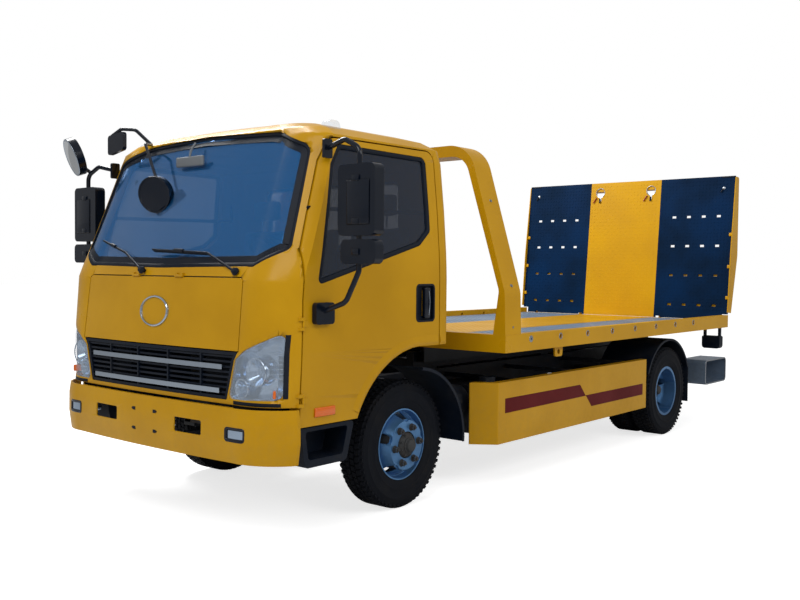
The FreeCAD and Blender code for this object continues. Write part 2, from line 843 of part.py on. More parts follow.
def front_mudguard():
    """Rear half of the guard round the steered tyre, on two arms from the rail."""
    sheet = arc_guard(0.0, front_guard_radius, 95, 184, front_guard_inner, front_guard_outer)
    pieces = [sheet]
    for angle in (118, 156):
        x = (front_guard_radius + guard_skin + 8) * math.cos(math.radians(angle))
        z = tyre_radius + (front_guard_radius + guard_skin + 8) * math.sin(math.radians(angle))
        z = min(z, rail_top - 20)
        x = -math.sqrt((front_guard_radius + guard_skin + 8) ** 2 - (z - tyre_radius) ** 2)
        pieces.append(bar_y(x, z, rail_outer + seat_gap, front_guard_outer - 60, 12))
    return fuse(pieces)


def control_box():
    """Open-fronted box with rounded corners and a row of levers."""
    low = control_box_bottom
    high = control_box_top
    outer = prism("XZ", [(control_box_rear, low, 40), (control_box_front, low, 40),
                         (control_box_front, high, 40), (control_box_rear, high, 40)],
                  control_box_outer - control_box_depth, control_box_outer)
    skin = control_box_skin
    hollow = prism("XZ", [(control_box_rear + skin, low + skin, 34), (control_box_front - skin, low + skin, 34),
                          (control_box_front - skin, high - skin, 34), (control_box_rear + skin, high - skin, 34)],
                   control_box_outer - control_box_depth + skin, control_box_outer + 1)
    shell = outer.cut(hollow)
    middle = (low + high) / 2
    y = control_box_outer - control_box_depth
    pieces = [shell, box(control_box_rear + 110, control_box_front - 130, y, y + 70,
                         middle - 35, middle + 35)]
    for i in range(lever_count):
        x = control_box_rear + 150 + lever_pitch * i
        pieces.append(rod(Vector(x, y + 40, middle + 30), Vector(x, y + 90, middle + 90), lever_radius))
    return fuse(pieces)


def underrun_bar():
    half = control_box_outer - control_box_depth - 20
    front = underrun_x + 1
    return prism("XZ", [(front, underrun_z - 50, 8), (underrun_x - 45, underrun_z - 50, 8),
                        (underrun_x - 45, underrun_z + 50, 8), (front, underrun_z + 50, 8)], -half, half)


# Bumper

bumper_rows = (
    # height, how far the bumper is tucked in there
    (bumper_bottom, 16.0),
    (bumper_bottom + 110.0, 0.0),
    (bumper_top - 60.0, 2.0),
    (bumper_top, 12.0),
)


def bumper_wire(z, tuck, inset):
    row = (z, front_overhang - tuck, front_overhang - 24 - tuck, bumper_rear + 20,
           cab_rows[0][4] + bumper_side_proud - tuck, bumper_rear - 300)
    return cab_section(row, inset)


def bumper_loft(inset):
    return Part.makeLoft([bumper_wire(z, tuck, inset) for z, tuck in bumper_rows], True, True)


def bumper():
    """Hollow wrapped bar: swelling a little at mid height, with its openings cut through."""
    skin = bumper_loft(0.0).cut(bumper_loft(bumper_skin))
    tuck = bumper_rows[-1][1]
    rim = Part.Face(bumper_wire(bumper_top - bumper_skin, tuck, 1.0)).extrude(Vector(0, 0, bumper_skin))
    hole = Part.Face(bumper_wire(bumper_top - bumper_skin - 1, tuck, bumper_skin + bumper_flange))
    rim = rim.cut(hole.extrude(Vector(0, 0, bumper_skin + 2)))
    rim = rim.common(box(bumper_rear, 2000, -shoulder_share * 1000, shoulder_share * 1000, 0, 2000))
    body = fuse([skin, rim]).common(box(bumper_rear, 2000, -2000, 2000, 0, 2000))
    middle = (bumper_bottom + bumper_top) / 2
    for y0, y1 in ((268, 489), (-489, -268)):
        body = body.cut(prism("YZ", [(y0, middle - 22, 10), (y1, middle - 22, 10), (y1, middle + 56, 10),
                                     (y0, middle + 56, 10)], 1000, 1300))
    for y in (-fog_lamp_y, fog_lamp_y):
        body = body.cut(prism("YZ", fog_outline(y, 0.0), 1000, 1300))
    return body


def fog_outline(y, inset):
    half = fog_lamp_width / 2 - inset
    tall = fog_lamp_height / 2 - inset
    return [(y - half, fog_lamp_z - tall, 14), (y + half, fog_lamp_z - tall, 14),
            (y + half, fog_lamp_z + tall, 14), (y - half, fog_lamp_z + tall, 14)]


def fog_lamp():
    """Lamp block filling its hole in the bumper, its face just behind the bumper's skin."""
    block = prism("YZ", fog_outline(fog_lamp_y, seat_gap), 1060, 1300)
    return block.common(bumper_loft(5.0))


# Cab body: plan sections up the cab, each with an arched front and rounded corners

cab_rows = (
    # height, front at the middle, front at the shoulder, front of the side, half width, rear
    (620.0, 1166.0, 1146.0, 985.0, 1001.0, -280.0),
    (1000.0, 1168.0, 1148.0, 985.0, 1010.0, -280.0),
    (1373.0, 1130.0, 1108.0, 965.0, 1010.0, -280.0),
    (1441.0, 1105.0, 1070.0, 945.0, 1008.0, -280.0),
    (1533.0, 1065.0, 1025.0, 905.0, 1004.0, -280.0),
    (1781.0, 957.0, 925.0, 810.0, 985.0, -280.0),
    (2070.0, 832.0, 808.0, 712.0, 955.0, -278.0),
    (2150.0, 797.0, 770.0, 690.0, 940.0, -262.0),
    (2200.0, 768.0, 738.0, 650.0, 850.0, -220.0),
    (2235.0, 700.0, 672.0, 600.0, 715.0, -150.0),
    (2256.0, 620.0, 595.0, 540.0, 470.0, -60.0),
    (2268.0, 520.0, 500.0, 470.0, 200.0, 60.0),
)


def cab_section(row, inset):
    z, front, shoulder, side, half, rear = row
    z -= inset * min(1.0, max(0.0, (z - 1781.0) / 420.0))
    front -= inset
    shoulder -= inset
    side -= inset * 0.6
    half -= inset
    rear += inset
    y = shoulder_share * half
    radius = min(cab_corner_radius, half / 2)
    cut = radius * (1 - math.sqrt(0.5))
    chord = Vector(side - shoulder, half - y, 0)
    normal = Vector(chord.y, -chord.x, 0).normalize()
    bulge = Vector((side + shoulder) / 2, (half + y) / 2, z) + normal * min(cab_corner_bulge, half * 0.06)
    left = [Part.makeLine(Vector(rear, 0, z), Vector(rear, half - radius, z)),
            Part.Arc(Vector(rear, half - radius, z), Vector(rear + cut, half - cut, z),
                     Vector(rear + radius, half, z)).toShape(),
            Part.makeLine(Vector(rear + radius, half, z), Vector(side, half, z)),
            Part.Arc(Vector(side, half, z), bulge, Vector(shoulder, y, z)).toShape()]
    right = [mirrored(edge) for edge in left]
    nose = Part.Arc(Vector(shoulder, y, z), Vector(front, 0, z), Vector(shoulder, -y, z)).toShape()
    rear_line = Part.makeLine(Vector(rear, -half + radius, z), Vector(rear, half - radius, z))
    return Part.Wire(Part.__sortEdges__([rear_line] + left[1:] + [nose] + right[1:]))


cab_lofts = {}


def cab_loft(inset):
    """The cab's closed form, that far below its outer face."""
    if inset not in cab_lofts:
        cab_lofts[inset] = Part.makeLoft([cab_section(row, inset) for row in cab_rows], True, True)
    return cab_lofts[inset]


def cab_skin(first, last, zone):
    """Layer of the cab's wall between two depths below its outer face, inside a zone."""
    return cab_loft(first).common(zone).cut(cab_loft(last))


def grown(plane, corners, low, high, grow):
    wire = outline(plane, corners, low).makeOffset2D(grow)
    return Part.Face(wire).extrude(at(plane, 0.0, 0.0, high - low))


def arch_cuts():
    """What the wheels' arches and the raised sill behind them take from the cab's foot."""
    return [bar_y(0, tyre_radius, -1200, 1200, arch_radius), box(-900, 0, -1200, 1200, 0, side_bottom)]


def door_front(z):
    return 985.0 - (z - door_bottom) * 0.026


def door_outline():
    return [(door_front(door_bottom), door_bottom), (door_front(1273.0), 1273.0), (948.0, 1532.0, 40),
            (781.0, 1996.0), (712.0, 2126.0, 60), (-160.0, 2134.0, 60), (-160.0, door_bottom)]


def door_window_outline():
    return [(872.0, 1345.0, 25), (20.0, 1570.0, 60), (-84.0, 1655.0, 30), (-84.0, 2094.0, 45),
            (664.0, 2098.0, 30), (735.0, 1985.0)]


def windshield_outline():
    return [(0, 1430), (744, 1441, 50), (930, 1530, 40), (872, 2085, 80), (600, 2182, 300), (0, 2202),
            (-600, 2182, 300), (-872, 2085, 80), (-930, 1530, 40), (-744, 1441, 50)]


def windshield_zone(low, high):
    """Region just round the raked front, so that the cut leaves the roof whole."""
    zone = prism("XZ", [(1035, 1380), (690, 2180), (690, 2240), (1300, 2240), (1300, 1380)], -1100, 1100)
    return prism("YZ", windshield_outline(), low, high).common(zone)


def rear_window_outline():
    return [(-620, 1570, 60), (620, 1570, 60), (620, 1990, 60), (-620, 1990, 60)]


def panel_outline():
    return [(-702, 1380, 25), (702, 1380, 25), (712, 1004), (-712, 1004)]


def grille_outline():
    return [(709, 998), (684, 956), (628, cab_bottom + 22, 12), (-628, cab_bottom + 22, 12), (-684, 956),
            (-709, 998)]


def headlamp_outline():
    return [(692, 962), (760, 1010, 60), (962, 1108, 25), (952, 762, 40), (640, 752, 30)]


def both(solids):
    return list(solids) + [mirrored(solid) for solid in solids]


def door_zone():
    """Room that each door needs at rest and, round its hinges, as its front edge swings in."""
    zone = grown("XZ", door_outline(), 830, 1200, door_gap).cut(cab_loft(door_thickness + door_gap))
    swing = bar_z(door_hinge_x, door_hinge_y, door_bottom - door_gap, dash_top + door_gap, door_swing_radius)
    return fuse(both([zone, swing]))


def door_edge_room():
    """What the door's rear edge has to leave free, so that its inner corner clears the opening as it swings."""
    low, high = Vector(cab_rear, 0, door_bottom - 100), Vector(0, 0, 2300)
    edge = grown("XZ", door_outline(), door_hinge_y, door_hinge_y + 1, door_gap - slide_gap)
    edge = edge.common(box(low.x, high.x, door_hinge_y, door_hinge_y + 1, low.z, high.z))
    face = min(edge.Faces, key=lambda side: side.CenterOfMass.y)
    axis = Vector(door_hinge_x, door_hinge_y, 0)
    swept = face.revolve(axis, Vector(0, 0, 1), door_edge_sweep)
    swept.rotate(axis, Vector(0, 0, 1), -door_edge_start)
    return box(low.x, high.x, 700, 1100, low.z, high.z).cut(swept)


def cab_shell():
    """Hollow body with its openings cut: doors, glass, front flap, headlamps and wheel arches."""
    inside = fuse([cab_loft(cab_wall), Part.Face(cab_section((500.0,) + cab_rows[0][1:], cab_wall)).extrude(
        Vector(0, 0, door_bottom - 490))])
    body = cab_loft(0.0).cut(inside)
    cuts = arch_cuts() + [box(door_front(cab_bottom) - 60, 1400, -1200, 1200, 0, cab_bottom)]
    cuts += both([grown("XZ", door_outline(), 800, 1200, door_gap)])
    cuts.append(windshield_zone(600, 1400))
    cuts.append(prism("YZ", rear_window_outline(), cab_rear - 50, cab_rear + 100))
    cuts.append(grown("YZ", panel_outline(), 950, 1400, panel_gap))
    cuts.append(grown("YZ", grille_outline(), 950, 1400, seat_gap))
    cuts += both([prism("YZ", headlamp_outline(), 960, 1400)])
    cuts += both([hinge_room(door_hinge_centre(z), Vector(0, 0, 1)) for z in door_hinge_places])
    cuts += [hinge_room(flap_hinge_centre(y), Vector(0, 1, 0)) for y in flap_hinge_places]
    for cut in cuts:
        body = body.cut(cut)
    leaves = []
    for z in door_hinge_places:
        leaves += both(door_hinge_leaves(z))
    for y in flap_hinge_places:
        leaves += hinge_pin(flap_hinge_centre(y), Vector(0, 1, 0)) + flap_hinge_ears(y)
    return fuse([body] + leaves)


def cab_floor():
    """Pan with footwells, raised floor over the wheels, engine tunnel, steps and hinge lugs."""
    low = door_bottom + 10
    pan = [(cab_rear + cab_wall, side_bottom + 2), (430, side_bottom + 2, 60), (600, low, 60), (1050, low),
           (1065, dash_floor), (1035, dash_floor), (1020, low + 30), (620, low + 30, 40),
           (455, side_bottom + 32, 60), (cab_rear + cab_wall, side_bottom + 32)]
    side = prism("XZ", pan, rail_outer + 10, 960)
    top = box(cab_rear + cab_wall, 1040, -rail_outer - 30, rail_outer + 30, side_bottom + 2, side_bottom + 32)
    fire = box(1030, 1060, -rail_outer - 30, rail_outer + 30, side_bottom - 30, dash_floor)
    wall = prism("XZ", [(430, side_bottom + 3), (600, low + 1, 60), (1045, low + 1), (1045, side_bottom + 3)],
                 rail_outer + 10, rail_outer + 30)
    lug = fuse([bar_y(cab_pivot_x, cab_pivot_z, rail_outer - 42, rail_outer - 16, cab_lug_radius),
                box(cab_pivot_x - 24, cab_pivot_x + 30, rail_outer - 42, rail_outer - 16, cab_pivot_z,
                    side_bottom + 4)])
    lug = lug.cut(bar_y(cab_pivot_x, cab_pivot_z, 0, 900, cab_pin_radius + run_gap))
    whole = fuse(both([side, wall, lug]) + [top, fire])
    whole = whole.common(cab_loft(cab_wall + seat_gap)).cut(door_zone())
    for lamp in both([grown("YZ", headlamp_outline(), 900, 1400, 1.0).cut(cab_loft(headlamp_depth + 1))]):
        whole = whole.cut(lamp)
    return fuse([whole] + both([cab_step()]))


def hinge_barrel(centre, along, pin):
    """Barrel on a hinge axis, with a running bore for the pin."""
    start = centre - along * barrel_half
    whole = Part.makeCylinder(hinge_barrel_radius, 2 * barrel_half, start, along)
    return whole.cut(Part.makeCylinder(pin + run_gap, 2 * barrel_half, start, along))


def hinge_pin(centre, along):
    """Pin through a barrel, with a lug past each end of it."""
    reach = barrel_half + 1 + hinge_lug
    pieces = [Part.makeCylinder(hinge_pin_radius, 2 * reach, centre - along * reach, along)]
    for start in (-reach, barrel_half + 1):
        pieces.append(Part.makeCylinder(hinge_barrel_radius, hinge_lug, centre + along * start, along))
    return pieces


def hinge_room(centre, along):
    reach = barrel_half + hinge_lug + 2
    return Part.makeCylinder(hinge_barrel_radius + 1.5, 2 * reach, centre - along * reach, along)


def door_hinge_centre(z):
    return Vector(door_hinge_x, door_hinge_y, z)


def door_hinge_leaves(z):
    """Fixed half of a door's hinge: pin, lugs and the leaf on the body's corner."""
    pieces = hinge_pin(door_hinge_centre(z), Vector(0, 0, 1))
    edge = door_front(z) + door_gap
    for low in (z - barrel_half - 1 - hinge_lug, z + barrel_half + 1):
        pieces.append(box(door_hinge_x, edge + 8, door_hinge_y - 2.5, door_hinge_y + 4, low, low + hinge_lug))
        pieces.append(box(edge + 1, edge + 16, door_hinge_y - 30, door_hinge_y + 4, low, low + hinge_lug))
    return pieces


def flap_hinge_centre(y):
    return Vector(flap_hinge_x, y, flap_hinge_z)


def flap_hinge_ears(y):
    """What joins each lug of the flap's hinge to the body above the flap."""
    ears = []
    for start in (y - barrel_half - 1 - hinge_lug, y + barrel_half + 1):
        ears.append(box(flap_hinge_x - 20, flap_hinge_x + 2, start, start + hinge_lug, flap_hinge_z + 2,
                        flap_hinge_z + 16))
    return ears


def door_left():
    """Whole thickness of the door between its skins, with the window, and the handle in its cup."""
    body = cab_skin(0.0, door_thickness, prism("XZ", door_outline(), 800, 1200))
    cuts = arch_cuts()
    cuts.append(prism("XZ", door_window_outline(), 750, 1250))
    cuts.append(prism("XZ", handle_outline(), cab_rows[1][4] - handle_depth, 1100))
    up = Vector(0, 0, 1)
    cuts += [hinge_room(door_hinge_centre(z), up) for z in door_hinge_places]
    cuts.append(door_edge_room())
    for cut in cuts:
        body = body.cut(cut)
    face = cab_rows[1][4]
    barrels = [hinge_barrel(door_hinge_centre(z), up, hinge_pin_radius) for z in door_hinge_places]
    for z in door_hinge_places:
        barrels.append(box(door_hinge_x - 30, door_hinge_x - hinge_pin_radius - 1, face - 10, face + 5,
                           z - barrel_half, z + barrel_half))
    grip = prism("XZ", [(-62, 1150, 12), (-22, 1150, 12), (-22, 1320, 12), (-62, 1320, 12)],
                 face - handle_depth - 1, face + 4)
    return fuse([body, grip] + barrels)


def handle_outline():
    return [(-112, 1128, 22), (56, 1128, 22), (56, 1342, 22), (-112, 1342, 22)]


def door_glass():
    return cab_skin(glass_inset, glass_inset + glass_skin, prism("XZ", door_window_outline(), 750, 1250))


def cab_glass():
    screen = cab_skin(glass_inset, glass_inset + glass_skin, windshield_zone(600, 1400))
    rear = cab_skin(glass_inset, glass_inset + glass_skin,
                    prism("YZ", rear_window_outline(), cab_rear - 50, cab_rear + 100))
    return Part.makeCompound([screen, rear])


def front_panel():
    """Panel skin with its two hinge barrels and their straps at the top edge."""
    skin = cab_skin(0.0, panel_skin, prism("YZ", panel_outline(), 950, 1400))
    along = Vector(0, 1, 0)
    pieces = []
    for y in flap_hinge_places:
        skin = skin.cut(hinge_room(flap_hinge_centre(y), along))
        pieces.append(hinge_barrel(flap_hinge_centre(y), along, hinge_pin_radius))
        pieces.append(box(flap_hinge_x - 12, flap_hinge_x - hinge_pin_radius - 1, y - barrel_half,
                          y + barrel_half, flap_hinge_z - 18, flap_hinge_z))
    return fuse([skin] + pieces)


def grille():
    """Curved slats and posts in a frame, all behind the two bright bars."""
    field = prism("YZ", grille_outline(), 950, 1400)
    frame = field.cut(prism("YZ", [(676, 980), (658, 950), (612, cab_bottom + 40), (-612, cab_bottom + 40),
                                   (-658, 950), (-676, 980)], 900, 1450))
    slats = []
    for i in range(grille_slats):
        z = cab_bottom + 52 + i * grille_pitch
        reach = min(690, 600 + (z - cab_bottom) * 0.32)
        slats.append(box(1000, 1300, -reach, reach, z, z + 11))
    posts = [box(1000, 1300, y - 6, y + 6, cab_bottom + 30, 994) for y in (-420, -140, 140, 420)]
    pieces = [cab_skin(4.0, 34.0, frame), cab_skin(10.0, 28.0, Part.makeCompound(slats)),
              cab_skin(4.0, 34.0, Part.makeCompound(posts))]
    return fuse(pieces)


def grille_bars():
    bars = [box(1000, 1300, -reach, reach, z - 13, z + 13) for z, reach in ((917, 598), (792, 578))]
    return cab_skin(-6.0, 3.7, Part.makeCompound(bars))


def headlamp():
    """Open-fronted case with the reflector bowls set in it."""
    field = prism("YZ", headlamp_outline(), headlamp_back, 1400)
    case = cab_skin(8.0, headlamp_depth, field)
    hollow = outline("YZ", headlamp_outline(), headlamp_back + 8).makeOffset2D(-7)
    pocket = Part.Face(hollow).extrude(Vector(500, 0, 0))
    case = case.cut(pocket.common(cab_loft(0.0)).cut(cab_loft(headlamp_depth - 8)))
    bowls = []
    for y, z, r, x in ((812, 900, 74, 1112), (726, 812, 50, 1132)):
        dish = Part.makeCone(r * 0.45, r - 5, 46, Vector(x - 45, y, z), Vector(1, 0, 0))
        bowl = bar_x(y, z, x - 60, x, r).cut(dish)
        bowls.append(bowl)
    return fuse([case] + bowls).common(cab_loft(8.0))


def headlamp_lens():
    return cab_skin(1.0, 7.7, prism("YZ", headlamp_outline(), 940, 1400))


def cab_step():
    """Moulded step below each door, open to the side."""
    body = prism("XZ", [(560, 612, 20), (620, 400, 30), (930, 400, 30), (965, 612, 10)], 760, 985)
    well = prism("XZ", [(610, 590, 15), (650, 440, 20), (905, 440, 20), (930, 590, 15)], 830, 1000)
    riser = box(620, 940, 760, 900, 611, door_bottom + 11)
    return fuse([body.cut(well), riser])


def dashboard():
    """Full-width moulding under the screen, cut to the inside of the body, with the steering column."""
    body = prism("XZ", [(1090, 1180), (1070, 1392, 40), (860, dash_top, 60), (745, 1350, 60),
                        (770, 1150, 40)], -960, 960)
    body = body.common(cab_loft(cab_wall + seat_gap)).cut(door_zone())
    body = body.cut(box(1018, 1100, -1200, 1200, 900, dash_floor + 2))
    hood = prism("XZ", [(880, 1400), (860, 1470, 40), (740, 1440, 30), (740, 1360)], steer_wheel_y - 190,
                 steer_wheel_y + 190)
    column = rod(steer_point(-52 - seat_gap), steer_point(-330), 38)
    return fuse([body, hood, column])


def steer_point(along):
    """Point on the steering column's axis, counted up from the wheel's centre."""
    lean = math.radians(steer_wheel_lean)
    return Vector(steer_wheel_x - along * math.sin(lean), steer_wheel_y, steer_wheel_z + along * math.cos(lean))


def steering_wheel():
    centre = steer_point(0.0)
    axis = steer_point(1.0) - centre
    ring = Part.makeTorus(steer_wheel_radius, 15, centre, axis)
    boss = Part.makeCylinder(46, 50, steer_point(-52), axis)
    pieces = [ring, boss]
    spoke = box(-18, 18, 0, steer_wheel_radius, -10, 6)
    for angle in (90, -90, 180):
        arm = spoke.copy()
        arm.rotate(Vector(0, 0, 0), Vector(0, 0, 1), angle)
        arm.rotate(Vector(0, 0, 0), Vector(0, 1, 0), -steer_wheel_lean)
        arm.translate(centre)
        pieces.append(arm)
    return fuse(pieces)


def seat_base():
    return side_bottom + 32 + seat_gap


def seat(y0, y1):
    """Cushion and raked back with rounded edges, as one upholstered piece."""
    base = prism("XZ", [(-120, seat_base(), 30), (380, seat_base(), 30), (390, seat_base() + 150, 60),
                        (-120, seat_base() + 120, 30)], y0, y1)
    back = prism("XZ", [(-70, seat_base() + 60, 30), (-150, seat_base() + 720, 40),
                        (-228, seat_base() + 700, 40), (-190, seat_base() + 40, 40)], y0 + 10, y1 - 10)
    return fuse([base, back])


def seats():
    return Part.makeCompound([seat(260, 780), seat(-780, 180)])


def wiper(points):
    """Arm from the pivot on the cowl, and the blade lying along the glass."""
    pivot, knee, tip = points
    pieces = [rod(pivot - Vector(18, 0, 6), pivot + Vector(14, 0, 8), 12)]
    pieces.append(rod(pivot + Vector(6, 0, 0), knee, 7))
    pieces.append(rod(knee, tip, 6))
    return fuse(pieces).cut(cab_loft(-seat_gap))


def wipers():
    return Part.makeCompound([
        wiper((Vector(1131, -139, 1414), Vector(1092, -368, 1519), Vector(1040, -674, 1592))),
        wiper((Vector(1100, 640, 1412), Vector(1092, 394, 1512), Vector(1102, -80, 1532)))])


def marker_lamp():
    """Clear dome on the roof's edge."""
    dome = prism("XZ", [(540, 2150), (560, 2240, 30), (645, 2240, 30), (660, 2150)], 812, 862)
    return dome.cut(cab_loft(-seat_gap))


def lamp_lenses():
    return Part.makeCompound(both([headlamp_lens(), marker_lamp()]))


def mirror_head(x, y, z, width, height, depth):
    return prism("YZ", [(y - width / 2, z - height / 2, 30), (y + width / 2, z - height / 2, 30),
                        (y + width / 2, z + height / 2, 30), (y - width / 2, z + height / 2, 30)],
                 x - depth / 2, x + depth / 2)


def mirror_left():
    """Tube from the door's top corner, out and down through both mirrors, back to the door."""
    arm = pipe([Vector(760, 968, 2062), Vector(790, 1120, 2095), Vector(800, 1232, 2040),
                Vector(800, 1232, 1420), Vector(830, 1170, 1262), Vector(850, 1022, 1209)], 14, 60)
    top_foot = prism("XZ", [(735, 2010, 10), (795, 2010, 10), (795, 2110, 10), (735, 2110, 10)], 962, 980)
    low_foot = prism("XZ", [(775, 1145, 20), (910, 1145, 20), (910, 1258, 20), (775, 1258, 20)], 1010.3, 1042)
    return fuse([arm, top_foot.cut(cab_loft(-seat_gap)), low_foot, mirror_head(792, 1232, 1780, 250, 360, 70),
                 mirror_head(796, 1245, 1519, 235, 124, 60)])


def mirror_right():
    """Like the left one, with a round wide-angle mirror clamped on its upper bend."""
    wide = rod(Vector(878, -1218, 2168), Vector(923, -1233, 2150), 126)
    stub = rod(Vector(800, -1215, 2066), Vector(890, -1225, 2120), 12)
    return fuse([mirrored(mirror_left()), wide, stub])


def roof_mirrors():
    """Round mirror before the screen and a square one at the right corner, each on its arm."""
    stem = pipe([Vector(742, -600, 2205), Vector(860, -500, 2190), Vector(950, -262, 1960),
                 Vector(958, -250, 1880)], 9, 30)
    near = fuse([stem, rod(Vector(945, -250, 1866), Vector(985, -235, 1858), 108)])
    arm = pipe([Vector(690, -632, 2186), Vector(800, -690, 2300), Vector(850, -770, 2306),
                Vector(848, -880, 2270)], 11, 40)
    plate = prism("YZ", [(-905, 2145, 20), (-735, 2175, 20), (-735, 2290, 20), (-905, 2270, 20)], 835, 862)
    corner = fuse([arm, plate])
    return Part.makeCompound([near.cut(cab_loft(-seat_gap)), corner.cut(cab_loft(-seat_gap))])


# Tilt frame, its cylinders and the bed's cylinder

def tilt_frame():
    """Two rails on cross members, pinned at the rear, with wear blocks for the bed to slide on."""
    inner = tilt_rail_outer - tilt_rail_width
    pieces = both([box(tilt_rear, tilt_front, inner, tilt_rail_outer, tilt_bottom, tilt_top)])
    for x in tilt_cross_places:
        pieces.append(box(x - 35, x + 35, -inner - 1, inner + 1, tilt_bottom + 2, tilt_cross_top))
    low = bed_beam_bottom + bed_beam_skin + slide_gap
    high = bed_beam_top - bed_beam_skin - slide_gap
    for x in wear_block_places:
        pieces += both([box(x - 90, x + 90, tilt_rail_outer - 1, bed_beam_outer - bed_beam_skin - slide_gap,
                            low, high)])
    ear = prism("XZ", [(tilt_pivot_x - 36, tilt_pivot_z, 30), (tilt_pivot_x, tilt_pivot_z - 40, 30),
                       (tilt_pivot_x + 36, tilt_pivot_z, 30), (tilt_pivot_x + 90, tilt_bottom + 20),
                       (tilt_rear + 2, tilt_bottom + 20)], rail_outer + 10, rail_outer + 30)
    shelf = box(tilt_rear, tilt_pivot_x + 88, tilt_rail_outer - 3, rail_outer + 30,
                tilt_bottom, tilt_bottom + 38)
    pin = bar_y(tilt_pivot_x, tilt_pivot_z, rail_outer - 50, rail_outer + 29, tilt_pin_radius)
    pieces += both([ear, shelf, pin])
    for y in (cylinder_y - 44, cylinder_y + 30):
        pieces += both([prism("XZ", [(rod_eye_x - 34, tilt_bottom + 3), (rod_eye_x - 26, rod_eye_z - 26, 20),
                                     (rod_eye_x + 26, rod_eye_z - 26, 20), (rod_eye_x + 34, tilt_bottom + 3)],
                              y, y + 14)])
    for y in (cylinder_y - 31, cylinder_y + 25):
        pieces += both([bar_y(rod_eye_x, rod_eye_z, y, y + 6, 15)])
    for x in (tilt_cross_places[2], tilt_cross_places[3]):
        saddle = box(x - 30, x + 30, -56, 56, tilt_cross_top - 1, slide_barrel_z)
        pieces.append(saddle.cut(bar_x(0, slide_barrel_z, x - 40, x + 40, barrel_radius - barrel_wall / 2)))
    post = tilt_cross_places[1]
    pieces.append(box(post - 20, post + 20, -40, 40, tilt_cross_top - 1, slide_barrel_z + 20))
    return fuse(pieces + [slide_barrel()])


def tube_x(x0, x1, y, z, outer, inner):
    return bar_x(y, z, x0, x1, outer).cut(bar_x(y, z, x0 - 1, x1 + 1, inner))


def slide_barrel():
    """Closed at the front end, with a gland for the rod at the rear."""
    gland = barrel_radius - barrel_wall / 2
    bore = barrel_radius - barrel_wall
    body = tube_x(slide_barrel_rear, slide_barrel_front, 0, slide_barrel_z, barrel_radius, bore)
    back = bar_x(0, slide_barrel_z, slide_barrel_front - 20, slide_barrel_front + 25, gland)
    mouth = tube_x(slide_barrel_rear, slide_barrel_rear + 40, 0, slide_barrel_z, barrel_radius,
                   rod_radius + run_gap)
    return fuse([body, back, mouth])


def slide_rod():
    """Chromed rod with its piston, ending in a plate on the bed's rear cross member."""
    start = slide_barrel_front - 60
    piston = bar_x(0, slide_barrel_z, start - 50, start, barrel_radius - barrel_wall - run_gap)
    shaft = bar_x(0, slide_barrel_z, slide_rod_end, start, rod_radius)
    plate = box(slide_rod_end - 19, slide_rod_end, -60, 60, slide_barrel_z - 40, bed_beam_top - 1 - seat_gap)
    return fuse([piston, shaft, plate])


def cylinder_axis():
    foot = Vector(barrel_foot_x, cylinder_y, barrel_foot_z)
    eye = Vector(rod_eye_x, cylinder_y, rod_eye_z)
    return foot, eye, (eye - foot).normalize()


def tilt_barrel():
    foot, eye, line = cylinder_axis()
    length = (eye - foot).Length
    start = foot + line * 40
    stop = foot + line * (length * 0.72)
    body = rod(start, stop, barrel_radius)
    bore = rod(foot + line * 90, stop - line * 40, barrel_radius - barrel_wall)
    gland = rod(foot + line * 80, stop + line, rod_radius + run_gap)
    knob = fuse([bar_y(foot.x, foot.z, cylinder_y - 22, cylinder_y + 22, 30),
                 rod(foot + line * 20, start + line, 20)])
    whole = fuse([body.cut(bore).cut(gland), knob])
    return whole.cut(bar_y(foot.x, foot.z, cylinder_y - 60, cylinder_y + 60, 16 + run_gap))


def tilt_rod():
    foot, eye, line = cylinder_axis()
    shaft = rod(foot + line * 110, eye - line * 20, rod_radius)
    piston = rod(foot + line * 110, foot + line * 150, barrel_radius - barrel_wall - run_gap)
    ring = bar_y(eye.x, eye.z, cylinder_y - 20, cylinder_y + 20, 30)
    hole = bar_y(eye.x, eye.z, cylinder_y - 40, cylinder_y + 40, 15)
    return fuse([shaft, piston, ring]).cut(hole)


# Bed

def bed_beam():
    """Channel beam that wraps the tilt frame's wear blocks, under the cross members."""
    outer = bed_beam_outer
    inner = outer - bed_beam_width
    skin = bed_beam_skin
    front = bed_front - bed_rail_width - seat_gap
    back = bed_rear + bed_rail_width + seat_gap
    return fuse([box(back, front, outer - skin, outer, bed_beam_bottom, bed_beam_top),
                 box(back, front, inner, outer, bed_beam_bottom, bed_beam_bottom + skin),
                 box(back, front, inner, outer, bed_beam_top - skin, bed_beam_top)])


def bed_cross_members():
    front = bed_front - bed_rail_width - 60
    back = bed_rear + bed_rail_width
    half = bed_half - bed_rail_width + 1
    places = [front - i * bed_cross_pitch for i in range(int((front - back) / bed_cross_pitch) + 1)]
    return [box(x - 25, x + 25, -half, half, bed_beam_top + seat_gap, deck_top - deck_skin)
            for x in places + [back + 24]]


def bed_deck():
    half = bed_half - bed_rail_width - seat_gap
    return box(bed_rear + bed_rail_width + seat_gap, bed_front - bed_rail_width - seat_gap, -half, half,
               deck_top - deck_skin, deck_top)


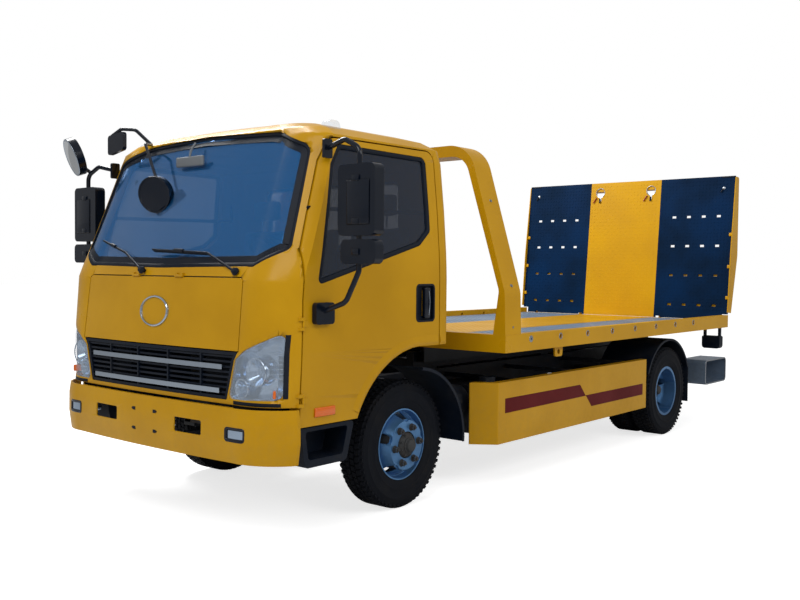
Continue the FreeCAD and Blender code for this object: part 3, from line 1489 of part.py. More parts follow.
def bed_frame():
    """Rim of side rails with lashing holes, headers and hinge lugs, on cross members and two beams."""
    low = bed_rail_top - bed_rail_height
    inner = bed_half - bed_rail_width
    side = box(bed_rear, bed_front, inner, bed_half, low, bed_rail_top)
    holes = []
    for i in range(lash_hole_count):
        x = lash_hole_first - i * lash_hole_pitch
        holes.append(bar_y(x, bed_rail_top - 38, inner - 5, bed_half + 5, lash_hole_radius))
    side = side.cut(Part.makeCompound(holes))
    pieces = bed_cross_members() + both([side, lash_lug()])
    pieces.append(box(bed_front - bed_rail_width, bed_front, -inner - 1, inner + 1, low, bed_rail_top))
    pieces.append(box(bed_rear, bed_rear + bed_rail_width, -inner - 1, inner + 1, low, deck_top))
    for y in ramp_lug_places:
        pieces += both([prism("XZ", [(bed_rear + 1, low + 4), (bed_rear + 1, ramp_pin_z + 30, 6),
                                     (ramp_pin_x + 4, ramp_pin_z + 30, 20), (ramp_pin_x - 26, ramp_pin_z, 22),
                                     (ramp_pin_x - 8, low + 4, 16)], y, y + 16)])
    whole = fuse(pieces)
    bores = both([bar_y(ramp_pin_x, ramp_pin_z, ramp_lug_places[0] - 5, bed_half, ramp_pin_radius + run_gap)])
    rim = whole.cut(Part.makeCompound(bores))
    return Part.makeCompound([rim] + both([bed_beam()]))


def hoop():
    """Headboard arch of flat tube, with its foot spread over each rail."""
    outer = [(1148, bed_rail_top), (1140, 1290, 160), (848, hoop_top, 215), (-848, hoop_top, 215),
             (-1140, 1290, 160), (-1148, bed_rail_top)]
    inner = [(1053, bed_rail_top - 5), (1095, 1300, 90), (816, hoop_top - 75, 140), (-816, hoop_top - 75, 140),
             (-1095, 1300, 90), (-1053, bed_rail_top - 5)]
    body = prism("YZ", outer, hoop_front - hoop_depth, hoop_front)
    body = body.cut(prism("YZ", inner, hoop_front - hoop_depth - 1, hoop_front + 1))
    return body


def winch_frame():
    """Base with two cheeks that carry the drum, and the motor on one side."""
    base = box(winch_x - 130, winch_x + 130, -winch_half - 90, winch_half + 90,
               deck_top + seat_gap, deck_top + 20)
    pieces = [base]
    for y in (-winch_half - 20, winch_half):
        pieces.append(prism("XZ", [(winch_x - 110, deck_top + 19), (winch_x - 80, winch_z + 80, 60),
                                   (winch_x + 80, winch_z + 80, 60), (winch_x + 110, deck_top + 19)],
                            y, y + 20))
    pieces.append(bar_y(winch_x, winch_z, winch_half + 19, winch_half + 170, 62))
    pieces.append(bar_y(winch_x, winch_z, -winch_half - 90, -winch_half - 19, 80))
    frame = fuse(pieces)
    return frame.cut(bar_y(winch_x, winch_z, -winch_half - 40, winch_half + 40, 20 + run_gap))


def winch_drum():
    half = winch_half - slide_gap
    pieces = [bar_y(winch_x, winch_z, -half, half, winch_drum_radius)]
    for y in (-half, half - 12):
        pieces.append(bar_y(winch_x, winch_z, y, y + 12, winch_flange_radius))
    pieces.append(bar_y(winch_x, winch_z, -winch_half - 35, winch_half + 35, 20))
    return fuse(pieces)


def tail_lamp():
    """Rounded lamp housing hanging from the rail on two legs."""
    low = bed_rail_top - bed_rail_height
    body = prism("YZ", [(957, 704, 30), (1129, 704, 30), (1129, 822, 14), (957, 822, 14)], -4450, -4370)
    legs = [box(-4425, -4395, y, y + 22, 820, low - seat_gap) for y in (962, 1102)]
    return fuse([body] + legs)


def lash_lug():
    """Bent plate under the side rail."""
    return prism("XZ", [(-1464, 904), (-1455, 833, 20), (-1360, 833, 20), (-1351, 904)],
                 1100, 1112).cut(bar_y(-1407, 866, 1090, 1120, 18))


# Ramp, drawn upright at its pin and then leaned back

def lean_back(shape):
    shape = shape.copy()
    shape.rotate(Vector(ramp_pin_x, 0, ramp_pin_z), Vector(0, 1, 0), -ramp_lean)
    return shape


def ramp_face():
    """Local X of the face the wheels roll on."""
    return ramp_pin_x + 29.0


def ramp_top():
    return ramp_pin_z + ramp_length


def ramp_frame():
    """Middle panel, side plates swelling at mid height, cross ribs and the hinge lugs with pins."""
    face = ramp_face()
    start = bed_rail_top + 20
    panel = box(face - ramp_plate, face, -ramp_stripe, ramp_stripe, start, ramp_top())
    for y in (-284, 284):
        panel = panel.cut(bar_x(y, ramp_top() - 105, face - 40, face + 10, 45))
        panel = panel.cut(box(face - 40, face + 10, y - 11, y + 11, ramp_top() - 190, ramp_top() - 105))
    pieces = [panel]
    plate = prism("XZ", [(face + 26, start), (face + 26, start + 60, 30), (face + 32, start + 560, 200),
                         (face + 4, ramp_top() - 8, 20), (face - 70, ramp_top() - 8, 20),
                         (face - ramp_side_depth - 22, start + 560, 300), (face - 60, start)],
                  bed_half - ramp_plate, bed_half)
    pieces += both([plate])
    back = face - ramp_plate
    for z in ramp_rib_places:
        z += bed_rail_top
        pieces.append(box(back - ramp_rib_depth, back - ramp_plate - seat_gap, -bed_half + ramp_plate - 1,
                          bed_half - ramp_plate + 1, z, z + 40))
        pieces.append(box(back - ramp_plate - 1, back + 1, -ramp_stripe, ramp_stripe, z, z + 40))
    for y in (-ramp_stripe, ramp_stripe - 30):
        pieces.append(box(back - ramp_rib_depth, back + 1, y, y + 30, start, ramp_top() - 20))
    for y in ramp_lug_places:
        ear = prism("XZ", [(ramp_pin_x - 24, ramp_pin_z - 10, 22), (ramp_pin_x + 19, ramp_pin_z - 10, 20),
                           (ramp_pin_x + 19, bed_rail_top + 30), (back - ramp_rib_depth, bed_rail_top + 70),
                           (ramp_pin_x - 24, bed_rail_top + 30)], y + 16 + slide_gap, y + 32 + slide_gap)
        pieces += both([ear, bar_y(ramp_pin_x, ramp_pin_z, y - 4, y + 18 + slide_gap, ramp_pin_radius)])
    return lean_back(fuse(pieces))


def ramp_tread():
    """Side plate of tread sheet with its rows of slots."""
    face = ramp_face()
    plate = box(face - ramp_plate, face, ramp_stripe + seat_gap, bed_half - ramp_plate - seat_gap,
                bed_rail_top + 20, ramp_top())
    slots = []
    for column in range(4):
        y = 548 + 150 * column
        for line in range(4):
            z = bed_rail_top + 85 + 290 * line
            slots.append(prism("YZ", [(y - 20, z - 11), (y + 20, z - 11), (y + 20, z + 11), (y - 20, z + 11)],
                               face - 50, face + 10))
    return lean_back(plate.cut(Part.makeCompound(slots)))


def main():
    os.makedirs("parts", exist_ok=True)
    save("chassis_frame", chassis_frame())
    save("leaf_springs", leaf_springs())
    save("front_axle", front_axle())
    left = knuckle_left()
    save("knuckle_left", left)
    save("knuckle_right", mirrored(left))
    save("tie_rod", tie_rod())
    save("rear_axle_and_shaft", Part.makeCompound([rear_axle(), driveshaft()]))
    save("engine_and_radiator", Part.makeCompound([engine_and_gearbox(), radiator()]))
    wheel = front_wheel()
    front_tyre = tyre(0.0, front_centre())
    twins = rear_wheels()
    rear_tyres = Part.makeCompound([tyre(-wheelbase, centre) for centre in twin_centres()])
    save("wheel_front_left", wheel)
    save("wheel_front_right", mirrored(wheel))
    save("tyre_front_left", front_tyre)
    save("tyre_front_right", mirrored(front_tyre))
    save("wheels_rear_left", twins)
    save("wheels_rear_right", mirrored(twins))
    save("tyres_rear_left", rear_tyres)
    save("tyres_rear_right", mirrored(rear_tyres))
    save("tanks", Part.makeCompound([side_tank(oil_tank_front, oil_tank_length, 1),
                                     side_tank(fuel_tank_front, fuel_tank_length, -1), air_tank()]))
    save("exhaust", exhaust())
    save("side_skirts", pair(side_skirt()))
    save("mudguards", Part.makeCompound(both([front_mudguard(), rear_mudguard()])))
    save("control_boxes", pair(control_box()))
    save("bumper", bumper())
    save("fog_lamps", pair(fog_lamp()))
    save("cab_shell", cab_shell())
    save("cab_floor", cab_floor())
    save("cab_glass", cab_glass())
    save("dashboard", dashboard())
    save("steering_wheel", steering_wheel())
    save("seats", seats())
    save("wipers", wipers())
    save("roof_mirrors", roof_mirrors())
    save("headlamps", pair(headlamp()))
    save("lamp_lenses", lamp_lenses())
    save("front_panel", front_panel())
    save("grille", grille())
    save("grille_bars", grille_bars())
    door = door_left()
    glass = door_glass()
    save("door_left", door)
    save("door_right", mirrored(door))
    save("door_glass_left", glass)
    save("door_glass_right", mirrored(glass))
    save("mirror_left", mirror_left())
    save("mirror_right", mirror_right())
    save("tilt_frame", tilt_frame())
    save("tilt_barrels", pair(tilt_barrel()))
    save("tilt_rods", pair(tilt_rod()))
    save("bed_frame", bed_frame())
    save("bed_deck", bed_deck())
    save("slide_rod", slide_rod())
    save("hoop", hoop())
    save("winch_frame", winch_frame())
    save("winch_drum", winch_drum())
    save("tail_lamps", pair(tail_lamp()))
    save("ramp_frame", ramp_frame())
    save("ramp_treads", pair(ramp_tread()))


main()
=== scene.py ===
# %% [markdown]
# # A flatbed tow truck, dressed for its picture
# The metal and glass of the truck come ready made as a fixed frame from CAD, in metres, with X
# forward, Y to the truck's left and Z up. This lesson gives every CAD piece its finish and models
# what a drawing office leaves out: tyre tread, seals, bolts, lamp glass, tread plate and upholstery.

# %% Load the frame
import bmesh
import bpy
import math
from mathutils import Matrix, Vector
from mathutils.bvhtree import BVHTree


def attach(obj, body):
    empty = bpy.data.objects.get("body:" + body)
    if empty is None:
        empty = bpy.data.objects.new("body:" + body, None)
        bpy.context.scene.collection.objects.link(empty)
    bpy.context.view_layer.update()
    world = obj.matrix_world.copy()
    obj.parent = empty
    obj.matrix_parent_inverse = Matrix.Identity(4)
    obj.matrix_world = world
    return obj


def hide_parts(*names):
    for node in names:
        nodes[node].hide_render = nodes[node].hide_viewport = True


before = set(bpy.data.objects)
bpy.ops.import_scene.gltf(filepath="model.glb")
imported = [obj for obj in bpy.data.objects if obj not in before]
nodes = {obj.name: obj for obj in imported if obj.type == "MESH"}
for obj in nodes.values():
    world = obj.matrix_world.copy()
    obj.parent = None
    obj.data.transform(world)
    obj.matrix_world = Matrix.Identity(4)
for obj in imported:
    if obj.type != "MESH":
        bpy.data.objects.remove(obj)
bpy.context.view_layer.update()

# %% [markdown]
# The truck was measured in millimetres from its front axle. One small function turns such a point
# into the frame's metres, so that every place below can be checked against a tape measure.

# %% Points in millimetres from the front axle
AXLE_X = 1.7775
REAR_AXLE = -3460.0
AXLE_Z = 383.0
SIDES = ((1, "left"), (-1, "right"))


def at(x, y, z):
    return Vector((x / 1000 + AXLE_X, y / 1000, z / 1000))


print("front axle at", [round(v, 3) for v in at(0, 0, AXLE_Z)])

# %% [markdown]
# ## Helpers for materials
# Colours are read off as sRGB hex values, while shaders work in linear light, so one function
# turns one into the other. Another adds any node with its settings and its links. Two patterns come
# back in most finishes: soft random patches, and a relief that also rounds sharp edges in the shine.

# %% Colour and node helpers


def hexa(code):
    parts = [int(code[i:i + 2], 16) / 255 for i in (0, 2, 4)]
    return (*[p / 12.92 if p <= 0.04045 else ((p + 0.055) / 1.055) ** 2.4 for p in parts], 1.0)


def put(node, inputs):
    """Fills a node's inputs, each with a value or with an output socket to link from."""
    for name, value in inputs.items():
        if isinstance(value, bpy.types.NodeSocket):
            node.id_data.links.new(value, node.inputs[name])
        else:
            node.inputs[name].default_value = value


def add(tree, kind, inputs={}, out=0, **settings):
    """Adds a node with its settings and inputs, and gives one of its outputs if it has any."""
    node = tree.nodes.new(kind)
    for name, value in settings.items():
        setattr(node, name, value)
    put(node, inputs)
    return node.outputs[out] if node.outputs else node


def blank(name):
    """A new material: gives it, its tree, its surface shader and Object coordinates."""
    material = bpy.data.materials.new(name)
    material.use_nodes = True
    tree = material.node_tree
    tree.nodes.clear()
    surface = add(tree, "ShaderNodeBsdfPrincipled")
    add(tree, "ShaderNodeOutputMaterial", {"Surface": surface})
    return material, tree, surface.node, add(tree, "ShaderNodeTexCoord", out="Object")


def blotches(tree, place, size_mm, detail, stretch=(1, 1, 1)):
    """Soft random pattern whose patches are about size_mm across."""
    scaled = add(tree, "ShaderNodeMapping", {"Vector": place, "Scale": stretch})
    return add(tree, "ShaderNodeTexNoise", {"Vector": scaled, "Scale": 1000 / size_mm, "Detail": detail}, "Fac")


def relief(shader, height, strength, distance=0.001, radius=0.002):
    """Raises a pattern on a surface, and rounds its sharp edges in the shine."""
    tree = shader.id_data
    rounded_edge = add(tree, "ShaderNodeBevel", {"Radius": radius}, samples=4)
    put(shader, {"Normal": add(tree, "ShaderNodeBump", {"Height": height, "Strength": strength,
                                                        "Distance": distance, "Normal": rounded_edge})})


print("yellow paint in linear light:", [round(v, 3) for v in hexa("C4920A")])

# %% [markdown]
# ## Paint
# The truck is sprayed in one warm yellow: a two-pack enamel, smooth and glossy, with a trace of
# orange peel. Real paint on a working truck is never one flat colour: dust settles low down, and
# the sheen is a little uneven. The same recipe with other hex values gives the black frame enamel,
# so it is a function and each paint is one call of it.

# %% Paint recipe


def enamel(name, code, shade, dust, rough, coat, metallic=0.0, dirt=0.35, gloss=0.25):
    material, tree, shader, place = blank(name)
    patches = blotches(tree, place, 420, 4.0)
    share = add(tree, "ShaderNodeMapRange", {0: patches, 1: 0.35, 2: 0.65})
    colour = add(tree, "ShaderNodeMix", {0: share, 6: hexa(code), 7: hexa(shade)}, 2, data_type="RGBA")
    height = add(tree, "ShaderNodeSeparateXYZ", {0: place}, "Z")
    low = add(tree, "ShaderNodeMapRange", {0: height, 1: 0.95, 2: 0.25})
    specks = add(tree, "ShaderNodeMapRange", {0: blotches(tree, place, 35, 6.0), 1: 0.42, 2: 0.72})
    film = add(tree, "ShaderNodeMath", {0: specks, 1: low}, operation="MULTIPLY")
    film = add(tree, "ShaderNodeMath", {0: film, 1: dirt}, operation="MULTIPLY")
    sheen = add(tree, "ShaderNodeMapRange", {0: patches, 1: 0.3, 2: 0.7, 3: rough * 0.85, 4: rough * 1.2})
    put(shader, {
        "Base Color": add(tree, "ShaderNodeMix", {0: film, 6: colour, 7: hexa(dust)}, 2, data_type="RGBA"),
        "Roughness": add(tree, "ShaderNodeMath", {0: sheen, 1: film}, operation="ADD"),
        "Metallic": metallic, "Coat Weight": coat, "Coat Roughness": 0.06, "Specular IOR Level": gloss})
    relief(shader, blotches(tree, place, 9, 2.0), 0.035, 0.002)
    return material


yellow = enamel("yellow_enamel", "C4920A", "BA8906", "86764C", 0.32, 0.07, dirt=0.14, gloss=0.16)
black_enamel = enamel("black_chassis_enamel", "0D131D", "141B26", "4A463E", 0.42, 0.05, dirt=0.5)
tread_black = enamel("black_plate_enamel", "022244", "011830", "1E2E40", 0.5, 0.0, dirt=0.15, gloss=0.05)
rim_paint = enamel("silver_wheel_paint", "5A88B8", "446E9A", "4A4C4C", 0.3, 0.10, metallic=0.6, dirt=0.15)
grey_metal = enamel("grey_hammered_paint", "8393A6", "6F8095", "5E5A50", 0.36, 0.15, metallic=0.4)
print("paints:", [m.name for m in bpy.data.materials][-5:])

# %% [markdown]
# ## Plastics and rubber
# Grilles, mirror shells, mudguards and steps are moulded polypropylene: near black, matt, with a
# fine grain that the tool's etched face leaves. The grain of about half a millimetre is too fine to
# show from here, so it is drawn at a few millimetres. Tyre rubber is greyer, duller and dusty.

# %% Plastics and rubber


def moulded(name, code, rough, grain_mm=4.0, strength=0.12, dust="6E675A", dirt=0.07, gloss=0.2):
    material, tree, shader, place = blank(name)
    patches = blotches(tree, place, 160, 4.0)
    film = add(tree, "ShaderNodeMapRange", {0: patches, 1: 0.45, 2: 0.75, 4: dirt})
    put(shader, {
        "Base Color": add(tree, "ShaderNodeMix", {0: film, 6: hexa(code), 7: hexa(dust)}, 2, data_type="RGBA"),
        "Roughness": add(tree, "ShaderNodeMapRange", {0: patches, 1: 0.3, 2: 0.7, 3: rough * 0.9,
                                                      4: min(1.0, rough * 1.15)}),
        "Specular IOR Level": gloss})
    relief(shader, blotches(tree, place, grain_mm, 3.0), strength)
    return material


black_pp = moulded("black_polypropylene", "05101F", 0.52)
gloss_abs = moulded("glossy_black_abs", "030D1C", 0.2, grain_mm=30, strength=0.02, dirt=0.03, gloss=0.35)
grey_abs = moulded("grey_dashboard_abs", "6E7276", 0.6, dirt=0.1)
rubber = moulded("tyre_rubber", "090D15", 0.74, grain_mm=3.0, strength=0.25, dust="5B554B", dirt=0.08, gloss=0.15)
seal_rubber = moulded("seal_rubber", "040E1C", 0.6, grain_mm=3.0, dirt=0.04)
silencer = moulded("aluminised_steel", "6A6762", 0.45, grain_mm=12, dust="6B4A33", dirt=0.5, gloss=0.5)
iron = moulded("cast_iron", "3A3B3C", 0.62, grain_mm=6.0, strength=0.4, dust="4B3A2C", dirt=0.5)
print("plastics and rubber ready")

# %% [markdown]
# ## Bright metal, glass and lamps
# Chrome and the cylinder rods are mirrors with faint smears. The windscreen's blue is a painted
# reflection of the sky, and the dark navy of the door glass is painted shade of the cab behind it.
# Both are a film of colour over what lies behind them, drawn as a thin see-through coat, because
# light has to reach the cab. Lenses are clear or dyed acrylic.

# %% Metals


def metal(name, code, rough, smear_mm=60.0, stretch=(1, 1, 1)):
    material, tree, shader, place = blank(name)
    smears = blotches(tree, place, smear_mm, 4.0, stretch)
    put(shader, {"Base Color": hexa(code), "Metallic": 1.0, "Roughness": add(
        tree, "ShaderNodeMapRange", {0: smears, 1: 0.3, 2: 0.7, 3: rough * 0.65, 4: rough * 1.35})})
    relief(shader, smears, 0.05, radius=0.001)
    return material


chrome = metal("chrome_plate", "B4C0CE", 0.12)
polished_rod = metal("ground_chrome_rod", "BFC4C8", 0.10, 8.0, (0.1, 1, 1))
zinc = metal("zinc_plated_steel", "9AA0A6", 0.34, 18.0)
wire_steel = metal("wire_rope_steel", "7C7F82", 0.42, 4.0)
mirror_silver = metal("silvered_mirror", "DDE2E6", 0.03, 300.0)
reflector = metal("vacuum_aluminised_bowl", "A3B4C8", 0.14, 200.0)

# %% Glass and lenses


def clear_coat(name, code, alpha, rough, metallic=0.0):
    material, tree, shader, place = blank(name)
    put(shader, {"Base Color": hexa(code), "Metallic": metallic, "Alpha": alpha, "Coat Weight": 0.4,
                 "Roughness": add(tree, "ShaderNodeMapRange", {0: blotches(tree, place, 350, 2.0), 1: 0.3, 2: 0.7,
                                                               3: rough * 0.7, 4: rough * 1.4})})
    return material


# blue base colour: a painted reflection of a blue sky on the windscreen
window = clear_coat("blue_window_glass", "2B78BC", 0.54, 0.07, 0.6)
# dark navy, two thirds opaque: painted shade of the cab seen through the door glass
side_window = clear_coat("smoked_door_glass", "061A30", 0.66, 0.07)
lens_clear = clear_coat("clear_acrylic_lens", "C4D4E6", 0.2, 0.05)
lens_red = clear_coat("red_acrylic_lens", "8E0A0C", 0.96, 0.12)
lens_amber = clear_coat("amber_acrylic_lens", "E0670C", 0.93, 0.12)
print("metals and glass:", len(bpy.data.materials), "materials so far")

# %% [markdown]
# ## Cloth
# The seats are covered in a grey woven cloth. The threads are about 1 mm apart on the real cloth,
# drawn here at 4 mm so that the weave still shows through the glass.

# %% Seat cloth
THREAD_MM = 4.0
seat_cloth, tree, shader, place = blank("grey_woven_seat_cloth")
warp, weft = [add(tree, "ShaderNodeTexWave", {"Vector": place, "Scale": math.pi * 100 / THREAD_MM, "Distortion": 0.6,
                                              "Detail": 1.0}, "Fac", bands_direction=axis) for axis in "XZ"]
weave = add(tree, "ShaderNodeMath", {0: warp, 1: weft}, operation="MULTIPLY")
colour = add(tree, "ShaderNodeMix", {0: weave, 6: hexa("6B6A68"), 7: hexa("8C8B88")}, 2, data_type="RGBA")
threads = add(tree, "ShaderNodeBump", {"Height": weave, "Strength": 0.3, "Distance": 0.001})
put(shader, {"Base Color": colour, "Roughness": 0.92, "Sheen Weight": 0.3, "Normal": threads})
print("cloth ready")

# %% [markdown]
# ## Dress the frame
# Every CAD node gets the finish of the real part. A node that was forgotten stops the script.

# %% Finish of each CAD node
finishes = {
    yellow: ["cab_shell", "door_left", "door_right", "front_panel", "bumper", "side_skirts", "bed_frame", "hoop",
             "ramp_frame"],
    black_enamel: ["chassis_frame", "leaf_springs", "front_axle", "rear_axle_and_shaft", "tanks", "knuckle_left",
                   "knuckle_right", "tie_rod", "tilt_frame", "tilt_barrels", "winch_frame"],
    tread_black: ["ramp_treads"],
    rim_paint: ["wheel_front_left", "wheel_front_right", "wheels_rear_left", "wheels_rear_right"],
    grey_metal: ["control_boxes", "bed_deck"],
    black_pp: ["mudguards", "cab_floor", "grille", "wipers", "steering_wheel", "tail_lamps"],
    gloss_abs: ["mirror_left", "mirror_right", "roof_mirrors"],
    grey_abs: ["dashboard"],
    rubber: ["tyre_front_left", "tyre_front_right", "tyres_rear_left", "tyres_rear_right"],
    silencer: ["exhaust"],
    iron: ["engine_and_radiator"],
    chrome: ["grille_bars"],
    reflector: ["headlamps", "fog_lamps"],
    polished_rod: ["tilt_rods", "slide_rod"],
    wire_steel: ["winch_drum"],
    window: ["cab_glass"],
    side_window: ["door_glass_left", "door_glass_right"],
    lens_clear: ["lamp_lenses"],
    seat_cloth: ["seats"],
}
for finish, names in finishes.items():
    for name in names:
        mesh = nodes[name].data
        mesh.materials.clear()
        mesh.materials.append(finish)
undressed = set(nodes) - {name for names in finishes.values() for name in names}
if undressed:
    raise ValueError("no finish for " + ", ".join(sorted(undressed)))
print("dressed", sum(len(names) for names in finishes.values()), "nodes")

# %% [markdown]
# ## Smooth the curved panels
# The frame's meshes are loose triangles, so a curved door would show flat strips in its shine. A
# Weld modifier joins them, an angle limit keeps the real edges sharp, and weighted normals let the
# large faces win. All three are modifiers, so the CAD mesh itself stays as it is.

# %% Smooth shading on CAD nodes
for name, thing in nodes.items():
    weld = thing.modifiers.new("weld", "WELD")
    weld.merge_threshold = 0.00002
    with bpy.context.temp_override(object=thing, active_object=thing, selected_editable_objects=[thing]):
        bpy.ops.object.shade_auto_smooth(angle=math.radians(24))
    weighted = thing.modifiers.new("weighted", "WEIGHTED_NORMAL")
    weighted.keep_sharp = True
print("smoothed", len(nodes), "nodes,", [m.type for m in nodes["door_left"].modifiers])

# %% [markdown]
# ## Helpers for the new pieces
# Each new piece is drawn in truck millimetres with bmesh operators, then moved into the frame's
# metres and set riding on the body that carries it. Small shapes that repeat are pressed once into
# a mesh and stamped where they are needed, as a punch would do.

# %% Pieces and stamps
TO_FRAME = Matrix.Translation((AXLE_X, 0, 0)) @ Matrix.Scale(0.001, 4)


def piece(name, shape, finish, body, angle=32, stands_for=()):
    """Closes a shape drawn in truck millimetres, and rides it on its body."""
    bmesh.ops.remove_doubles(shape, verts=shape.verts, dist=0.02)
    bmesh.ops.recalc_face_normals(shape, faces=shape.faces)
    bmesh.ops.transform(shape, matrix=TO_FRAME, verts=shape.verts)
    mesh = bpy.data.meshes.new(name)
    shape.to_mesh(mesh)
    shape.free()
    mesh.shade_smooth()
    mesh.set_sharp_from_angle(angle=math.radians(angle))
    mesh.materials.append(finish)
    thing = bpy.data.objects.new(name, mesh)
    bpy.context.scene.collection.objects.link(thing)
    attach(thing, body)
    if stands_for:
        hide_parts(*stands_for)
    return thing


def pressed(pattern):
    """Keeps a small shape as a mesh, ready to be stamped."""
    mesh = bpy.data.meshes.new("pattern")
    pattern.to_mesh(mesh)
    pattern.free()
    return mesh


def stamp(shape, pattern, *places):
    """Adds a copy of a pressed pattern at each place, which is a matrix."""
    for place in places:
        copy = pattern.copy()
        copy.transform(place)
        shape.from_mesh(copy)
        bpy.data.meshes.remove(copy)


# %% [markdown]
# ## Tyres
# A light truck's radial tyre has a flexible sidewall with thin rings moulded round it, and a tread
# of blocks in four rows. The casing is one profile spun round the axle; each tread block is a
# chamfered brick, stamped sixty times a row and skewed as the mould's blocks are. The CAD tyres
# are plain rings for the physics, so these pieces stand for them.

# %% Turned and bevelled shapes


def soften(shape, edges, offset, segments=1):
    bmesh.ops.bevel(shape, geom=edges, offset=offset, segments=segments, profile=0.5, affect="EDGES", material=-1)


def brick(size):
    """Plain box about the origin, the start of most small shapes."""
    pattern = bmesh.new()
    bmesh.ops.create_cube(pattern, size=1)
    bmesh.ops.scale(pattern, vec=size, verts=pattern.verts)
    return pattern


def lathe(profile, steps):
    """Closed profile of (y, radius) spun once about the Y axis."""
    pattern = bmesh.new()
    verts = [pattern.verts.new((0, y, r)) for y, r in profile]
    edges = [pattern.edges.new(ends) for ends in zip(verts, verts[1:] + verts[:1])]
    bmesh.ops.spin(pattern, geom=verts + edges, cent=(0, 0, 0), axis=(0, 1, 0), angle=2 * math.pi, steps=steps,
                   use_merge=True)
    bmesh.ops.remove_doubles(pattern, verts=pattern.verts, dist=0.01)
    return pattern


print("bevels, bricks and turned shapes can be made")

# %% Tyres
TREAD_BLOCKS = 60
front_y, outer_y, inner_y = 782.0, 924.0, 692.0
half_profile = [(78, 214.4), (84, 220), (90, 236), (94, 255), (95.4, 262), (97.4, 264), (97.6, 272), (96.2, 275),
                (97.2, 296), (96, 320), (96.6, 322), (96.4, 326), (94.6, 328), (91, 346), (85, 360), (78, 370),
                (73, 373)]
casing = lathe(half_profile + [(-y, r) for y, r in reversed(half_profile)], 72)
tread_block = brick((33, 30, 13))
soften(tread_block, [e for e in tread_block.edges if all(v.co.z > 0 for v in e.verts)], 2)
tread_block = pressed(tread_block)
for row, (y, wide) in enumerate(((57, 1.2), (19, 1.0), (-19, 1.0), (-57, 1.2))):
    skew = Matrix.Shear("YZ", 4, (0.0, 0.0))
    skew[0][1] = 0.25 if row % 2 else -0.25
    for k in range(TREAD_BLOCKS):
        turn = Matrix.Rotation(2 * math.pi * (k + 0.5 * (row % 2)) / TREAD_BLOCKS, 4, "Y")
        lift = Matrix.Translation((0, y, 376.0))
        stamp(casing, tread_block, turn @ lift @ skew @ Matrix.Diagonal((1, wide, 1, 1)))
        if row in (0, 3):
            rib = Matrix.Translation((0, y * 1.46, 361.0)) @ Matrix.Rotation(math.copysign(0.62, -y), 4, "X")
            stamp(casing, tread_block, turn @ rib @ Matrix.Diagonal((0.6, 0.2, 2.0, 1)))
casing = pressed(casing)
wheels = {"front_left": ("front_left_wheel", [(0, front_y)], "tyre_front_left"),
          "front_right": ("front_right_wheel", [(0, -front_y)], "tyre_front_right"),
          "rear_left": ("rear_left_wheels", [(REAR_AXLE, outer_y), (REAR_AXLE, inner_y)], "tyres_rear_left"),
          "rear_right": ("rear_right_wheels", [(REAR_AXLE, -outer_y), (REAR_AXLE, -inner_y)], "tyres_rear_right")}
for name, (body, places, node) in wheels.items():
    shape = bmesh.new()
    stamp(shape, casing, *[Matrix.Translation((x, y, AXLE_Z)) for x, y in places])
    made = piece("moulded_tyre_" + name, shape, rubber, body, stands_for=[node])
print("tyres have", len(made.data.polygons), "faces on a twin pair")

# %% [markdown]
# ## Wheel nuts and hubs
# Six hexagon nuts on studs hold each wheel, and a pressed cap keeps grease in the hub. The nuts are
# drawn a hair larger than the plain round ones of the CAD wheel, so that they cover them. The hub
# and drum are bare cast iron, so those faces of the CAD wheel get the iron finish.

# %% Nuts, caps and hub finish
OUT_OF_Y = Matrix.Rotation(-math.pi / 2, 4, "X")


def cone(pattern, sides, foot, head, depth, z=0):
    bmesh.ops.create_cone(pattern, cap_ends=True, segments=sides, radius1=foot, radius2=head, depth=depth,
                          matrix=Matrix.Translation((0, 0, z)))


nut = bmesh.new()
cone(nut, 6, 18.9, 18.9, 25.5)
soften(nut, [e for e in nut.edges if all(v.co.z > 5 for v in e.verts)], 2.4)
cone(nut, 12, 9.5, 8, 12, 17)
cone(nut, 20, 23, 21, 4, -10)
nut = pressed(nut)
bolt = bmesh.new()
cone(bolt, 6, 9, 8, 9)
cone(bolt, 14, 13, 12.4, 3, -4)
bolt = pressed(bolt)
cap = pressed(lathe([(-2, 0), (-2, 47), (6, 47), (9, 41), (24, 36), (31, 26), (34, 0)], 32))
NUT_CIRCLE, BOLT_CIRCLE, HUB_RADIUS, DRUM_RADIUS = 111, 60, 79.5, 153
for name, (body, places, node) in wheels.items():
    x, side = places[0][0], math.copysign(1, places[0][1])
    nut_y, cap_y, drum_y = (910.2, 916, 880) if x == 0 else (832.2, 918, 795)
    axle = Matrix.Translation((x, 0, AXLE_Z))
    flip = Matrix.Diagonal((1, side, 1, 1))
    shape, hub_shape = bmesh.new(), bmesh.new()
    stamp(hub_shape, cap, flip @ axle @ Matrix.Translation((0, cap_y, 0)))
    for made, pattern, count, first, circle, y in (
            (shape, nut, 6, math.pi * 0.5 + math.pi * 0.4 / 3, NUT_CIRCLE, nut_y),
            (hub_shape, bolt, 8, math.pi / 8, BOLT_CIRCLE, cap_y - 8)):
        for k in range(count):
            angle = first + 2 * math.pi * k / count
            spot = Matrix.Translation((circle * math.cos(angle), y, circle * math.sin(angle)))
            stamp(made, pattern, flip @ axle @ spot @ OUT_OF_Y)
    piece("wheel_nuts_" + name, shape, iron, body)
    piece("hub_cap_" + name, hub_shape, iron, body)
    mesh = nodes["wheel_" + name if x == 0 else "wheels_" + name].data
    mesh.materials.append(iron)
    for face in mesh.polygons:
        spot = face.center - at(x, 0, AXLE_Z)
        spread = math.hypot(spot.x, spot.z) * 1000
        if spread < HUB_RADIUS or (spread < DRUM_RADIUS and abs(spot.y) * 1000 < drum_y):
            face.material_index = 1
print("nuts per wheel: 6, hub faces darkened")

# %% [markdown]
# ## Seals and the printed edge of the screen
# The windscreen is bonded behind a rubber lip, and a black ceramic band printed on its inner edge
# hides the glue. The door glass runs in a deeper rubber frame. Each seal is one profile carried
# round the opening; rays cast at the CAD glass tell how far out it stands at every point.

# %% Outlines


